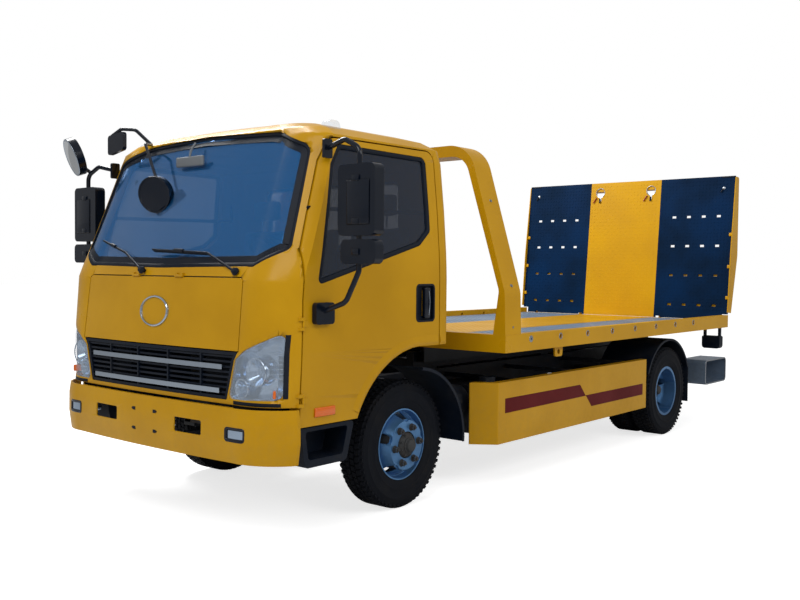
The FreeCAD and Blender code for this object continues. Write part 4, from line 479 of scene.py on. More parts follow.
def rounded(corners, step=30.0, arcs=5):
    """Points round a closed outline of (u, v) or (u, v, radius), no further apart than step."""
    points = []
    for i, corner in enumerate(corners):
        here = Vector(corner[:2])
        if len(corner) < 3:
            points.append(here)
            continue
        back = (Vector(corners[i - 1][:2]) - here).normalized()
        ahead = (Vector(corners[(i + 1) % len(corners)][:2]) - here).normalized()
        half = back.angle(ahead) / 2
        centre = here + (back + ahead).normalized() * corner[2] / math.sin(half)
        reach = corner[2] / math.tan(half)
        start, stop = here + back * reach - centre, here + ahead * reach - centre
        points += [centre + start.slerp(stop, k / arcs) * corner[2] for k in range(arcs + 1)]
    filled = []
    for here, after in zip(points, points[1:] + points[:1]):
        parts = max(1, math.ceil((after - here).length / step))
        filled += [here.lerp(after, k / parts) for k in range(parts)]
    return filled


def inward_at(loop, i):
    """Unit vector to the inside of a closed outline at one of its points."""
    area = sum(a.x * b.y - a.y * b.x for a, b in zip(loop, loop[1:] + loop[:1]))
    along = (loop[(i + 1) % len(loop)] - loop[i - 1]).normalized()
    return Vector((-along.y, along.x)) * (1 if area > 0 else -1)


def oblong(u0, v0, u1, v1, radius):
    return [(u0, v0, radius), (u1, v0, radius), (u1, v1, radius), (u0, v1, radius)]


REAR_WINDOW = oblong(-620, 1570, 620, 1990, 60)
print("the rear window's outline has", len(rounded(REAR_WINDOW)), "points")

# %% Sweeps and rays


def sweep(shape, rings, closed=False):
    """Extrudes an outline through a list of places; each place lists the outline's points."""
    verts = [shape.verts.new(p) for p in rings[0]]
    first = [shape.edges.new(ends) for ends in zip(verts, verts[1:] + verts[:1])]
    start, edges = verts, first
    for ring in rings[1:]:
        made = bmesh.ops.extrude_edge_only(shape, edges=edges)["geom"]
        fresh = {g for g in made if isinstance(g, bmesh.types.BMVert)}
        verts = [next(e.other_vert(v) for e in v.link_edges if e.other_vert(v) in fresh) for v in verts]
        for vert, place in zip(verts, ring):
            vert.co = place
        edges = [g for g in made if isinstance(g, bmesh.types.BMEdge) and all(v in fresh for v in g.verts)]
    if closed:
        bmesh.ops.bridge_loops(shape, edges=first + edges)
    else:
        shape.faces.new(start)
        shape.faces.new(verts)


def around(shape, corners, ring, step=30.0, arcs=5):
    """Frame round a closed outline: ring makes its section from a point and the way to the inside."""
    loop = rounded(corners, step, arcs)
    sweep(shape, [ring(here, inward_at(loop, i)) for i, here in enumerate(loop)], closed=True)
    return shape


def surface(*names):
    """Search tree over the faces of CAD nodes, for laying new pieces on them."""
    verts, faces = [], []
    for name in names:
        mesh = nodes[name].data
        start = len(verts)
        verts += [v.co.copy() for v in mesh.vertices]
        faces += [[start + k for k in p.vertices] for p in mesh.polygons]
    return BVHTree.FromPolygons(verts, faces)


def touch(tree, x, y, z, along):
    """Where a ray from a point in truck millimetres meets a surface, and which way that faces."""
    hit, normal = tree.ray_cast(at(x, y, z), Vector(along))[:2]
    if hit is None:
        raise ValueError(f"nothing to touch from {x:.0f}, {y:.0f}, {z:.0f}")
    return (hit - at(0, 0, 0)) * 1000, normal


print("sections can be swept, and surfaces touched by rays")

# %% Window seals
SCREEN = [(744, 1441, 50), (930, 1530, 40), (872, 2085, 80), (600, 2182, 300)]
SCREEN = [(0, 1430), *SCREEN, (0, 2202), *[(-y, z, radius) for y, z, radius in reversed(SCREEN)]]
DOOR_WINDOW = [(872, 1345, 25), (20, 1570, 60), (-84, 1655, 30), (-84, 2094, 45), (664, 2098, 30), (735, 1985)]
GLASS_DEPTH = 12.0


def seal(corners, glass, body, profile, start, along, place):
    """Carries a profile of (inward, out from the glass) round a pane; place maps (u, v, depth) to a point."""
    def ring(here, inward):
        found = []
        for reach in (5, 35):
            spot = at(*place(*(here + inward * reach), start))
            hits = [(tree.ray_cast(spot, Vector(along))[0], below) for tree, below in ((glass, 0), (body, GLASS_DEPTH))]
            found.append(max(-(hit - at(0, 0, 0)).dot(Vector(along)) * 1000 - below for hit, below in hits if hit))
        slope = (found[1] - found[0]) / 30
        return [place(*(here + inward * reach), found[0] + slope * (reach - 5) + out) for reach, out in profile]
    return around(bmesh.new(), corners, ring)


lip = [(-4, -1), (-4, 10.5), (3, 13), (14, 12), (20, 7), (22, -1)]
band = [(11, 0.3), (11, 0.9), (56, 0.9), (56, 0.3)]
deep_lip = [(-1, -1), (-1, 10), (5, 13), (18, 12.5), (24, 9), (27, -1)]
cab_pane, cab_face = surface("cab_glass"), surface("cab_shell")
for name, profile, finish in (("screen_lip", lip, seal_rubber), ("screen_band", band, black_pp)):
    ring = seal(SCREEN, cab_pane, cab_face, profile, 1500, (-1, 0, 0), lambda u, v, w: (w, u, v))
    piece(name, ring, finish, "cab")
ring = seal(REAR_WINDOW, cab_pane, cab_face, lip, 600, (1, 0, 0), lambda u, v, w: (-w, u, v))
piece("rear_window_lip", ring, seal_rubber, "cab")
for side, label in SIDES:
    pane, skin = surface("door_glass_" + label), surface("door_" + label)
    ring = seal(DOOR_WINDOW, pane, skin, deep_lip, 1300, (0, -side, 0), lambda u, v, w, s=side: (u, s * w, v))
    piece("door_window_rubber_" + label, ring, seal_rubber, label + "_door")
print("five seals round the glass")

# %% [markdown]
# ## Tread plate
# The deck and the ramp are rolled with small raised bars, each at right angles to its neighbours,
# so that a boot or tyre grips in every direction. On the real sheet they are pressed in by the
# rolls; here one tapered bar is stamped over the sheet at 34 mm pitch. A yellow lane is painted
# down the middle.

# %% Tread bars on the deck
PITCH = 34.0
tread_bar = brick((28, 8, 3))
bmesh.ops.scale(tread_bar, vec=(0.6, 0.35, 1), verts=[v for v in tread_bar.verts if v.co.z > 0])
tread_bar = pressed(tread_bar)


def plate(shape, outline, place, thick):
    """Flat sheet whose outline lists (u, v), as thick as asked, drawn on the plane of a matrix."""
    pattern = bmesh.new()
    face = pattern.faces.new([pattern.verts.new((u, v, 0)) for u, v in outline])
    made = bmesh.ops.extrude_face_region(pattern, geom=[face])["geom"]
    bmesh.ops.translate(pattern, vec=(0, 0, thick), verts=[g for g in made if isinstance(g, bmesh.types.BMVert)])
    stamp(shape, pressed(pattern), place)


def crosswise(x, way):
    """Plane across the truck at x, whose sheets grow forward (1) or back (-1)."""
    return Matrix(((0, 0, way, x), (1, 0, 0, 0), (0, 1, 0, 0), (0, 0, 0, 1)))


def lengthwise(y, way):
    """Plane along the truck at y, whose sheets grow to the left (1) or right (-1)."""
    return Matrix(((1, 0, 0, 0), (0, 0, way, y), (0, 1, 0, 0), (0, 0, 0, 1)))


def chequer(shape, low, high, plane, skip=None):
    """Covers a flat area from (u, v) to (u, v) with tread bars, on the plane of a matrix."""
    columns, rows = int((high[0] - low[0]) / PITCH), int((high[1] - low[1]) / PITCH)
    for j in range(rows):
        row = bmesh.new()
        for i in range(columns):
            u, v = low[0] + (i + 0.5) * PITCH, low[1] + (j + 0.5) * PITCH
            if skip is None or not skip(u, v):
                turn = Matrix.Rotation(math.pi / 4 if (i + j) % 2 else -math.pi / 4, 4, "Z")
                stamp(row, tread_bar, Matrix.Translation((u, v, 0)) @ turn)
        stamp(shape, pressed(row), plane)


LANE_EDGE, PLATE_EDGE = 388, 400


def lanes(outer, finish):
    """The plate on both sides of the yellow lane, and the lane."""
    return (("left", PLATE_EDGE, outer, finish), ("right", -outer, -PLATE_EDGE, finish),
            ("lane", -LANE_EDGE, LANE_EDGE, yellow))


DECK_TOP = 968.0
deck_plane = Matrix.Translation((0, 0, DECK_TOP + 0.4))
for name, y0, y1, finish in lanes(1088, grey_metal):
    shape = bmesh.new()
    chequer(shape, (-4452, y0), (-738, y1), deck_plane)
    if finish is yellow:
        wide = LANE_EDGE + 4
        plate(shape, [(-4458, -wide), (-736, -wide), (-736, wide), (-4458, wide)], deck_plane, 0.6)
    made = piece("deck_tread_" + name, shape, finish, "bed", angle=20)
    print("deck", name, "has", len(made.data.polygons), "faces")

# %% Tread bars on the ramp
PIN_X, PIN_Z, FACE_X, RAMP_LEAN = -4552.0, 935.0, -4523.0, 5.9
LEAN = (Matrix.Translation((PIN_X, 0, PIN_Z)) @ Matrix.Rotation(math.radians(-RAMP_LEAN), 4, "Y")
        @ Matrix.Translation((-PIN_X, 0, -PIN_Z)))
ramp_plane = LEAN @ crosswise(FACE_X + 0.3, 1)


def over_slot(u, v):
    """Whether a bar at that place on the ramp would hang over a slot or a hole."""
    column = min(abs(abs(u) - (548 + 150 * k)) for k in range(4))
    line = min(abs(v - (1103 + 290 * k)) for k in range(4))
    return (column < 32 and line < 23) or math.hypot(abs(u) - 284, v - 2256) < 60 or \
        (abs(abs(u) - 284) < 24 and 2150 < v < 2256)


for name, y0, y1, finish in lanes(1136, tread_black):
    shape = bmesh.new()
    chequer(shape, (y0, 1044), (y1, 2356), ramp_plane, over_slot)
    piece("ramp_tread_" + name, shape, finish, "ramp", angle=20)
print("ramp tread laid, leaning by", RAMP_LEAN, "degrees")

# %% [markdown]
# ## The red stripe
# A band of dark red film runs along each side skirt and steps down halfway. It is cut from
# adhesive film a few tenths of a millimetre thick, so it is a thin plate on the painted steel.

# %% Skirt stripes
maroon = enamel("maroon_film", "5E0509", "520407", "5E4A40", 0.42, 0.03, dirt=0.08, gloss=0.1)
SKIRT_Y = 1021.0
front_stripe = [(-875, 484), (-1976, 490), (-1887, 582), (-875, 582)]
rear_stripe = [(-2066, 402), (-2955, 402), (-2955, 494), (-1976, 494)]
for side, label in SIDES:
    shape = bmesh.new()
    for outline in (front_stripe, rear_stripe):
        plate(shape, outline, lengthwise(side * (SKIRT_Y + 0.1), side), 0.5)
    piece("skirt_stripe_" + label, shape, maroon, "chassis")
print("stripes on both skirts")

# %% [markdown]
# ## Front of the cab
# A plain bright ring stands where a truck carries its round badge; nothing is written on it. The
# wiper blades are flat strips under their arms. Behind the clear lens each headlamp has two bowls
# with bright rims and glass bulbs, a row of fine ribs, and an amber block for the indicator.

# %% Bars, blocks and rings


def tube(shape, path, radius, sides=8, closed=False, flat=1.0):
    """Round or flattened bar along a list of points, its ends closed."""
    path = [Vector(p) for p in path]
    rings, normal = [], None
    for i, here in enumerate(path):
        before = path[i - 1] if i or closed else here
        after = path[(i + 1) % len(path)] if closed or i + 1 < len(path) else here
        along = (after - before).normalized()
        normal = normal or along.orthogonal()
        normal = (normal - along * normal.dot(along)).normalized()
        side = along.cross(normal) * flat
        angles = [2 * math.pi * k / sides for k in range(sides)]
        rings.append([here + (normal * math.cos(a) + side * math.sin(a)) * radius for a in angles])
    sweep(shape, rings, closed)


def block(shape, corner, other, rounding=0.0, segments=2, turn=Matrix.Identity(4)):
    """Box between two opposite corners, with rounded edges, turned about its middle if asked."""
    low, high = (Vector(tuple(map(pick, corner, other))) for pick in (min, max))
    pattern = brick(high - low)
    if rounding:
        soften(pattern, pattern.edges, rounding, segments)
    stamp(shape, pressed(pattern), Matrix.Translation((low + high) / 2) @ turn)


def ring_of(radius, thick, proud, steps=40):
    """Plain round bezel with a soft section, lying in the XZ plane and facing Y."""
    section = [(0, radius - thick), (0, radius), (proud * 0.7, radius - thick * 0.1),
               (proud, radius - thick * 0.4), (proud * 0.8, radius - thick * 0.85)]
    return lathe(section, steps)


def facing(place, direction=(1, 0, 0)):
    """Matrix that turns a pattern's Y axis forward or to a direction, and moves it to a place."""
    return Matrix.Translation(place) @ Vector(direction).to_track_quat("Y", "Z").to_matrix().to_4x4()


def front_of(tree, y, z, start=1500):
    return touch(tree, start, y, z, (-1, 0, 0))


print("bars, blocks and rings can be set on the truck")

# %% Badge ring, wiper blades and pillar vents
spot, normal = front_of(surface("front_panel"), 0, 1187)
shape = bmesh.new()
stamp(shape, pressed(ring_of(88, 12, 11)), facing(spot - normal * 1, normal) @ Matrix.Diagonal((1.5, 1, 1, 1)))
piece("badge_ring", shape, chrome, "front_flap")

shape = bmesh.new()
for knee, tip in (((1092, -368, 1519), (1040, -674, 1592)), ((1092, 394, 1512), (1102, -80, 1532))):
    knee, tip = Vector(knee), Vector(tip)
    path = [knee.lerp(tip, k / 8) + Vector((-9, 0, -7)) for k in range(9)]
    tube(shape, path, 11, sides=6, flat=0.4)
    tube(shape, [knee.lerp(tip, 0.42) + Vector((2, 0, 2)), knee.lerp(tip, 0.58) + Vector((2, 0, 2))], 12)
piece("wiper_blades", shape, black_pp, "cab")
shape = bmesh.new()
pivot = pressed(lathe([(-6, 0), (-6, 22), (2, 22), (8, 18), (16, 15), (18, 0)], 20))
stamp(shape, pivot, *[facing(place, (1, 0, 0.5)) for place in ((1137, -139, 1416), (1106, 640, 1414))])
piece("wiper_pivots", shape, black_pp, "cab")

shape = bmesh.new()
for side in (1, -1):
    found = [front_of(cab_face, side * (938 - 1.6 * k), 1745 + 23 * k) for k in range(7)]
    path = [spot + normal * 2 for spot, normal in found]
    tube(shape, path, 15, sides=10, flat=0.45)
piece("pillar_vents", shape, black_pp, "cab")
print("badge ring, blades and vents")

# %% Headlamp details
shape, amber_shape, glass_shape = bmesh.new(), bmesh.new(), bmesh.new()
bulb = pressed(lathe([(-30, 0), (-30, 11), (-8, 13), (4, 11), (12, 6), (14, 0)], 16))
lens_face = surface("lamp_lenses")
for side in (1, -1):
    for x, y, z, radius in ((1111, 812, 900, 76), (1131, 726, 812, 52)):
        stamp(shape, pressed(ring_of(radius, 7, 5, 36)), facing((x, side * y, z)))
        stamp(glass_shape, bulb, facing((x - 15, side * y, z)))
    for k in range(8):
        rib = [front_of(lens_face, side * (897 + 12 * j), 872 + 24 * k, 1400)[0] for j in range(5)]
        tube(shape, [spot - Vector((14, 0, 0)) for spot in rib], 2.6, sides=6)
    spot = front_of(lens_face, side * 905, 792, 1400)[0]
    turn = Matrix.Rotation(-side * 0.75, 4, "Z")
    block(amber_shape, (spot.x - 30, side * 905 - 34, 772), (spot.x - 14, side * 905 + 34, 812), 6, turn=turn)
piece("headlamp_rims", shape, chrome, "cab")
piece("headlamp_indicators", amber_shape, lens_amber, "cab")
piece("headlamp_bulbs", glass_shape, lens_clear, "cab")
print("headlamps filled")

# %% [markdown]
# ## Bumper fittings
# The fog lamps sit in black frames. Four small black clips, each with a screw beside it, wait for a
# number plate.

# %% Fog lamp frames and plate clips
bumper_face = surface("bumper", "fog_lamps")
BUMPER_NOSE = 1219.7
BEZEL = [(12, -9), (12, -2), (8, 2.5), (-2, 3), (-5, 0.5), (-5, -2)]


def on_bumper(here, inward):
    """For around(): stands the bezel on the skin just outside the lamp."""
    skin = front_of(bumper_face, *(here - inward * 6))[0].x
    return [(skin + proud, *(here + inward * reach)) for reach, proud in BEZEL]


for side, label in SIDES:
    bezel = around(bmesh.new(), oblong(side * 737 - 65, 548, side * 737 + 65, 614, 14), on_bumper, 14, 4)
    piece("fog_lamp_bezel_" + label, bezel, gloss_abs, "cab")
shape = bmesh.new()
screw = pressed(lathe([(-5, 0), (-5, 5), (-1, 5), (0, 3), (0, 0)], 12))
for side in (-1, 1):
    for y, z in ((side * 95, 528), (side * 95, 638)):
        spot = front_of(bumper_face, y, z)[0]
        front = min(spot.x + 3, BUMPER_NOSE)
        block(shape, (spot.x - 4, y - 13, z - 9), (front, y + 13, z + 9), 0.5, 1)
        stamp(shape, screw, facing((front, y + side * 18, z)))
piece("plate_clips", shape, black_pp, "cab")
print("bumper fitted")

# %% [markdown]
# ## Doors
# The handle sits in a black plastic cup with a bright strip along its grip, and an amber marker
# lamp sits low on the door. The cup is one section swept round the handle, as a mould would give.

# %% Door fittings


def upright(side, section):
    """For around(): lays a section of (inward, y) along an outline that stands in the XZ plane."""
    def ring(here, inward):
        return [((here + inward * reach).x, side * y, (here + inward * reach).y) for reach, y in section]
    return ring


HANDLE = oblong(-112, 1128, 56, 1342, 22)
CUP = [(-5, 1010.2), (-5, 1011.6), (1, 1012.6), (6, 1011), (9, 990), (34, 986.4), (34, 984.6), (2, 984.6)]
for side, label in SIDES:
    shape, grip, strip, marker = bmesh.new(), bmesh.new(), bmesh.new(), bmesh.new()
    around(shape, HANDLE, upright(side, CUP), 40, 4)
    block(shape, (-90, side * 984.6, 1150), (34, side * 986.6, 1320), 0.8, 1)
    block(grip, (-67, side * 990, 1145), (-17, side * 1018, 1325), 7, 3)
    path = [(-56, side * (1013 + 6 * math.sin(math.pi * k / 8)), 1165 + 140 * k / 8) for k in range(9)]
    tube(strip, path, 7, flat=0.5)
    face = touch(surface("door_" + label), 810, side * 1300, 688, (0, -side, 0))[0].y * side
    block(marker, (733, side * (face - 1), 664), (884, side * (face + 9), 712), 4, 3)
    for name, made, finish in (("handle_cup_", shape, black_pp), ("handle_grip_", grip, gloss_abs),
                               ("handle_strip_", strip, chrome), ("side_marker_", marker, lens_amber)):
        piece(name + label, made, finish, label + "_door")
print("door fittings on both sides")

# %% [markdown]
# ## Mirrors
# Each mirror's silvered glass faces back along the truck, set in a shell with a thin rim. The big
# mirror's shell has a raised panel on its front, and black clamps hold both to the tube.

# %% Mirror glasses and clamps
RIM = [(1, 0.4), (2, -5), (8, -6), (12, -3), (12, 0.4)]
TUBE_Y, PANEL_Y = 1232, 1247
for side, label in SIDES:
    shape, glass_shape = bmesh.new(), bmesh.new()
    for x, y, z, wide, tall, deep in ((792, 1232, 1780, 250, 360, 70), (796, 1245, 1519, 235, 124, 60)):
        y *= side
        front, back = x + deep / 2, x - deep / 2
        corners = oblong(y - wide / 2, z - tall / 2, y + wide / 2, z + tall / 2, 30)
        around(shape, corners, lambda here, inward: [(back + out, *(here + inward * far)) for far, out in RIM], 60, 4)
        loop = rounded(corners, 60, 4)
        inner = [here + inward_at(loop, i) * 11.5 for i, here in enumerate(loop)]
        plate(glass_shape, inner, crosswise(back + 0.3, -1), 2.0)
        for height in (z + tall * 0.3, z - tall * 0.3) if tall > 200 else (z,):
            block(shape, (front - 4, side * TUBE_Y - 24, height - 16), (front + 9, side * TUBE_Y + 24, height + 16), 4)
    block(shape, (825, side * PANEL_Y - 76, 1655), (833, side * PANEL_Y + 76, 1880), 6, 3)
    piece("mirror_rims_" + label, shape, gloss_abs, label + "_door")
    piece("mirror_glass_" + label, glass_shape, mirror_silver, label + "_door")
print("mirrors silvered")

# %% [markdown]
# ## Seats
# The driver's seat and the double bench are foam in woven covers. Foam swells its cover between the
# seams, so each pad starts a little small, and Blender's cloth blows it up like a bladder: pressure
# for the foam, no gravity, and a cap on how far any point moves. Sewn channels are then pulled in,
# and a piping follows the edge of each face. The headrests are smaller pads on two bright posts.

# %% Foam, cloth and piping
VOXEL, SWELL_CAP, CLOTH_FRAMES = 0.016, 0.022, 20
STITCH_WIDTH, STITCH_DEPTH, CORD_RADIUS = 0.020, 0.009, 3.4
SEAT_FOOT = 1013.5


def puff(pad):
    """Blows a closed cover up from inside, with the underside staying on the seat frame."""
    scene = bpy.context.scene
    remesh = pad.modifiers.new("voxels", "REMESH")
    remesh.mode, remesh.voxel_size = "VOXEL", VOXEL
    bpy.context.view_layer.update()
    pad.data = bpy.data.meshes.new_from_object(pad.evaluated_get(bpy.context.evaluated_depsgraph_get()))
    pad.modifiers.clear()
    rest = [v.co.copy() for v in pad.data.vertices]
    cloth = pad.modifiers.new("cover", "CLOTH")
    cloth.settings.use_pressure = True
    cloth.settings.uniform_pressure_force = 4
    cloth.settings.effector_weights.gravity = 0
    for step in range(1, CLOTH_FRAMES + 1):
        scene.frame_set(step)
    swollen = pad.evaluated_get(bpy.context.evaluated_depsgraph_get()).data
    places = [v.co.copy() for v in swollen.vertices]
    scene.frame_set(1)
    pad.modifiers.clear()
    for vert, start, place in zip(pad.data.vertices, rest, places):
        move = place - start
        move.length = min(move.length, SWELL_CAP)
        vert.co = start + move
        vert.co.z = max(vert.co.z, SEAT_FOOT / 1000)


def channel(pad, axis, places):
    """Pulls the cover in along lines across the seat, as stitches through the foam do."""
    for vert in pad.data.vertices:
        for place in places:
            away = (vert.co[axis] - place) / STITCH_WIDTH
            vert.co -= vert.normal * STITCH_DEPTH * math.exp(-away * away)


def cushion(name, outline, y0, y1, lines=None, rounding=26):
    """Pad with an XZ outline, from y0 to y1, its edges rounded."""
    pattern = bmesh.new()
    plate(pattern, outline, lengthwise(y0, 1), y1 - y0)
    bmesh.ops.recalc_face_normals(pattern, faces=pattern.faces)
    soften(pattern, pattern.edges, rounding, 3)
    stands = ["seats"] if name == "seat_cushion_driver" else []
    pad = piece(name, pattern, seat_cloth, "cab", angle=60, stands_for=stands)
    puff(pad)
    if lines:
        channel(pad, *lines)
    pad.data.shade_smooth()
    finer = pad.modifiers.new("finer", "SUBSURF")
    finer.levels = finer.render_levels = 1
    return pad


def piping(pad, corners, start, along, place):
    """Thin cord sewn round the face of a pad; place maps (u, v) to a point before that face."""
    mesh = pad.data
    tree = BVHTree.FromPolygons([v.co for v in mesh.vertices], [tuple(p.vertices) for p in mesh.polygons])
    path = [touch(tree, *place(u, v, start), along)[0] for u, v in rounded(corners)]
    shape = bmesh.new()
    tube(shape, path, CORD_RADIUS, sides=6, closed=True)
    return shape


print("a cover may swell by", SWELL_CAP * 1000, "mm")

# %% Padded seats
piped, seat_posts = bmesh.new(), bmesh.new()
for label, y0, y1 in (("driver", 264, 776), ("bench", -776, 176)):
    base = cushion("seat_cushion_" + label, [(-108, SEAT_FOOT), (376, SEAT_FOOT), (388, 1138), (-100, 1116)], y0,
                   y1, (0, [at(x, 0, 0).x for x in (60, 215)]))
    back = cushion("seat_back_" + label, [(-92, 1120), (-150, 1712), (-208, 1704), (-170, 1096)], y0 + 8, y1 - 8,
                   (2, [1.31, 1.52]), 20)
    flat = oblong(-52, y0 + 58, 328, y1 - 58, 40)
    tall = [(y0 + 66, 1186, 40), (y1 - 66, 1186, 40), (y1 - 66, 1656, 60), (y0 + 66, 1656, 60)]
    for pad, corners, start, along, place in (
            (base, flat, 1400, (0, 0, -1), lambda u, v, w: (u, v, w)),
            (back, tall, 300, (-1, 0, 0), lambda u, v, w: (w, u, v))):
        stamp(piped, pressed(piping(pad, corners, start, along, place)), Matrix.Identity(4))
    for y in ([520] if label == "driver" else [-540, -60]):
        cushion(f"headrest_{abs(y)}", [(-148, 1762), (-156, 1902), (-206, 1902), (-204, 1762)], y - 128, y + 128,
                rounding=18)
        for post in (y - 52, y + 52):
            tube(seat_posts, [(-180, post, 1690), (-182, post, 1780)], 6.5, sides=10)
piece("seat_piping", piped, seat_cloth, "cab")
piece("headrest_posts", seat_posts, chrome, "cab")
print("seats upholstered", "with simulation")

# %% [markdown]
# ## Lamps and mirrors at the edges
# The tail lamps are black housings with ribbed red, amber and clear fields on their rear faces. The
# round mirrors over the screen get a slightly domed glass in a rim, and an inside mirror hangs
# behind the screen.

# %% Tail lamps
for side, label in SIDES:
    for colour, finish, y0, y1 in (("red", lens_red, 965, 1046), ("amber", lens_amber, 1050, 1084),
                                   ("clear", lens_clear, 1088, 1121)):
        shape = bmesh.new()
        block(shape, (-4460, side * y0, 722), (-4449, side * y1, 812), 4)
        for k in range(int((y1 - y0) / 8) - 1):
            y = min(side * y0, side * y1) + 8 + 8 * k
            block(shape, (-4461.5, y - 1.2, 730), (-4459, y + 1.2, 804), 0.6, 1)
        piece(f"tail_lens_{colour}_{label}", shape, finish, "bed")
print("three fields in each tail lamp")

# %% Roof mirrors and inside mirror
dome_glass = pressed(lathe([(0, 0), (0, 97), (3, 96), (10, 66), (13, 34), (14, 0)], 40))
dome_rim = pressed(ring_of(108, 12, 7))
half_deep, wider = Matrix.Diagonal((1, 0.5, 1, 1)), Matrix.Diagonal((1.165, 0.5, 1.165, 1))
roof_axis, roof_spot = Vector((40, 15, -8)), (945, -250, 1866)
wide_place = facing((923, -1233, 2150), Vector((45, -15, -18))) @ wider
silver, rims, wide_silver, wide_rim = bmesh.new(), bmesh.new(), bmesh.new(), bmesh.new()
stamp(silver, dome_glass, facing(roof_spot, -roof_axis) @ half_deep)
stamp(rims, dome_rim, facing(roof_spot, -roof_axis), facing((985, -235, 1858), roof_axis) @ half_deep)
stamp(wide_silver, dome_glass, wide_place)
stamp(wide_rim, dome_rim, wide_place)
piece("wide_mirror_rim", wide_rim, chrome, "right_door")
plate(silver, [(-897, 2155), (-745, 2183), (-745, 2280), (-897, 2262)], crosswise(835.2, -1), 1.5)
piece("roof_mirror_glass", silver, mirror_silver, "cab")
piece("roof_mirror_rims", rims, gloss_abs, "cab")
piece("wide_mirror_glass", wide_silver, mirror_silver, "right_door")
shape = bmesh.new()
block(shape, (846, -185, 2022), (868, 65, 2082), 10, 3)
tube(shape, [(862, -60, 2070), (850, -60, 2120), (818, -60, 2165)], 7)
piece("inside_mirror", shape, grey_abs, "cab")
print("mirrors hung over and behind the screen")

# %% [markdown]
# ## Pressed and moulded trim of the cab
# A soft flare is pressed round each wheel arch, in the door and behind it. Black moulding fills the
# joint between headlamp and panel, on its outer and lower sides.

# %% Arch flares
FLARE = [(-17, -3), (-17, 0.6), (-9, 5), (4, 5.5), (18, 3), (38, 0.2), (38, -3)]
ARCH_REACH, SILL = 622.0, 1003.0


def laid(shape, path, section, tree, start, along):
    """Carries a section of (aside, proud) along a path of (point, aside direction) laid on a surface."""
    rings = []
    for spot, aside in path:
        ring = []
        for off, proud in section:
            place = Vector(spot) + Vector(aside) * off
            place[0 if along[0] else 1] = start
            ring.append(touch(tree, *place, along)[0] - Vector(along) * proud)
        rings.append(ring)
    sweep(shape, rings)


def straight(*places):
    return [((x, 0, SILL + 2), (0, 0, 1)) for x in places]


ARC_FROM, ARC_TO, ARC_PARTS = 26, 90, 24
angles = [math.radians(ARC_FROM + (ARC_TO - ARC_FROM) * k / ARC_PARTS) for k in range(ARC_PARTS + 1)]
outs = [Vector((math.cos(angle), 0, math.sin(angle))) for angle in angles]
arc = [(Vector((0, 0, AXLE_Z)) + out * ARCH_REACH, out) for out in outs]
for side, label in SIDES:
    along, start = (0, -side, 0), side * 1300
    for name, path, face, body in (
            ("arch_flare_", arc + straight(-50, -100, -150), surface("door_" + label), label + "_door"),
            ("sill_flare_", straight(-172, -200, -228), cab_face, "cab")):
        shape = bmesh.new()
        laid(shape, path, FLARE, face, start, along)
        piece(name + label, shape, yellow, body)
print("arch flares on both doors")

# %% Headlamp mouldings
shape = bmesh.new()
lamp_surround = surface("cab_shell", "front_panel", "grille", "lamp_lenses", "bumper")
strip = [(-9, -6), (-9, 1), (-5, 2.4), (7, 2.4), (10, 1), (10, -6)]
outer_edge = [((0, 969 - 0.028 * (1100 - z), z), (0, 1, 0.03)) for z in range(1096, 770, -25)]
lower_edge = [((0, y, 738), (0, 0, -1)) for y in range(944, 660, -22)]
for edge in (outer_edge, lower_edge):
    for side in (1, -1):
        turned = [(Vector((0, side * p[1], p[2])), Vector((0, side * a[1], a[2]))) for p, a in edge]
        laid(shape, turned, strip, lamp_surround, 1500, (-1, 0, 0))
piece("headlamp_mouldings", shape, black_pp, "cab")
print("mouldings laid round both headlamps")

# %% [markdown]
# ## Bed, ramp and winch
# Rings line the lashing holes in the bed's edge. The ramp has black lips at its upper corners, rims
# and small pins at its keyholes, tabs at its edges and foot plates that close the gap over the
# hinge. The bed's beams are black. Steel rope lies in side by side turns on the winch drum.

# %% Lashing rings and hoop bolts
shape, bolts = bmesh.new(), bmesh.new()
lash_ring = pressed(ring_of(23, 7, 2.5, 24))
washer = pressed(lathe([(-2, 6), (-2, 22), (1, 22), (2.5, 19), (2.5, 6)], 24))
for side in (1, -1):
    holes = [facing((-980 - 386 * k, side * 1149.8, 980), (0, side, 0)) for k in range(8)]
    stamp(shape, washer, holes[0])
    stamp(shape, lash_ring, *holes)
    for y, z in ((1144, 1065), (1130.8, 1330), (963.05, 1880)):
        stamp(bolts, bolt, facing((-766, side * y, z), (0, side, 0.1)) @ OUT_OF_Y)
piece("lash_rings", shape, zinc, "bed")
piece("hoop_bolts", bolts, zinc, "bed")
print("lashing rings:", 2 * len(holes))

# %% Ramp fittings
KEY_Y, CORNER_Y, KEY_Z = 284, 1034, 2256
trim, pins, eyes, tabs = bmesh.new(), bmesh.new(), bmesh.new(), bmesh.new()
key_ring = pressed(ring_of(52, 7, 3, 32))
stud = pressed(lathe([(-1, 0), (-1, 15), (2, 15), (5, 11), (6, 0)], 20))
for side in (1, -1):
    key_y, corner_y = side * KEY_Y, side * CORNER_Y
    block(trim, (FACE_X - 6, side * 1010, 2346), (FACE_X + 5, side * 1141, 2360.5), 3)
    stamp(eyes, key_ring, facing((FACE_X, key_y, KEY_Z)))
    stamp(eyes, stud, facing((FACE_X, corner_y, 2245)))
    for made, foot, head, radius, sides in (
            (trim, (FACE_X + 7, key_y, 2192), (FACE_X + 7, key_y, 2150), 9, 10),
            (pins, (FACE_X + 8, key_y - 38, 2206), (FACE_X + 8, key_y - 74, 2150), 6, 8),
            (trim, (FACE_X + 8, corner_y - 6, 2238), (FACE_X + 8, corner_y - 26, 2204), 5, 8)):
        tube(made, [foot, head], radius, sides)
    for z in (1180, 1480, 1790):
        block(tabs, (FACE_X - 2, side * 1112, z - 16), (FACE_X + 12, side * 1143, z + 16), 3)
foot_sides, foot_lane = bmesh.new(), bmesh.new()
upper, lower = (7, 982, 1042), (3, 966.5, 984)
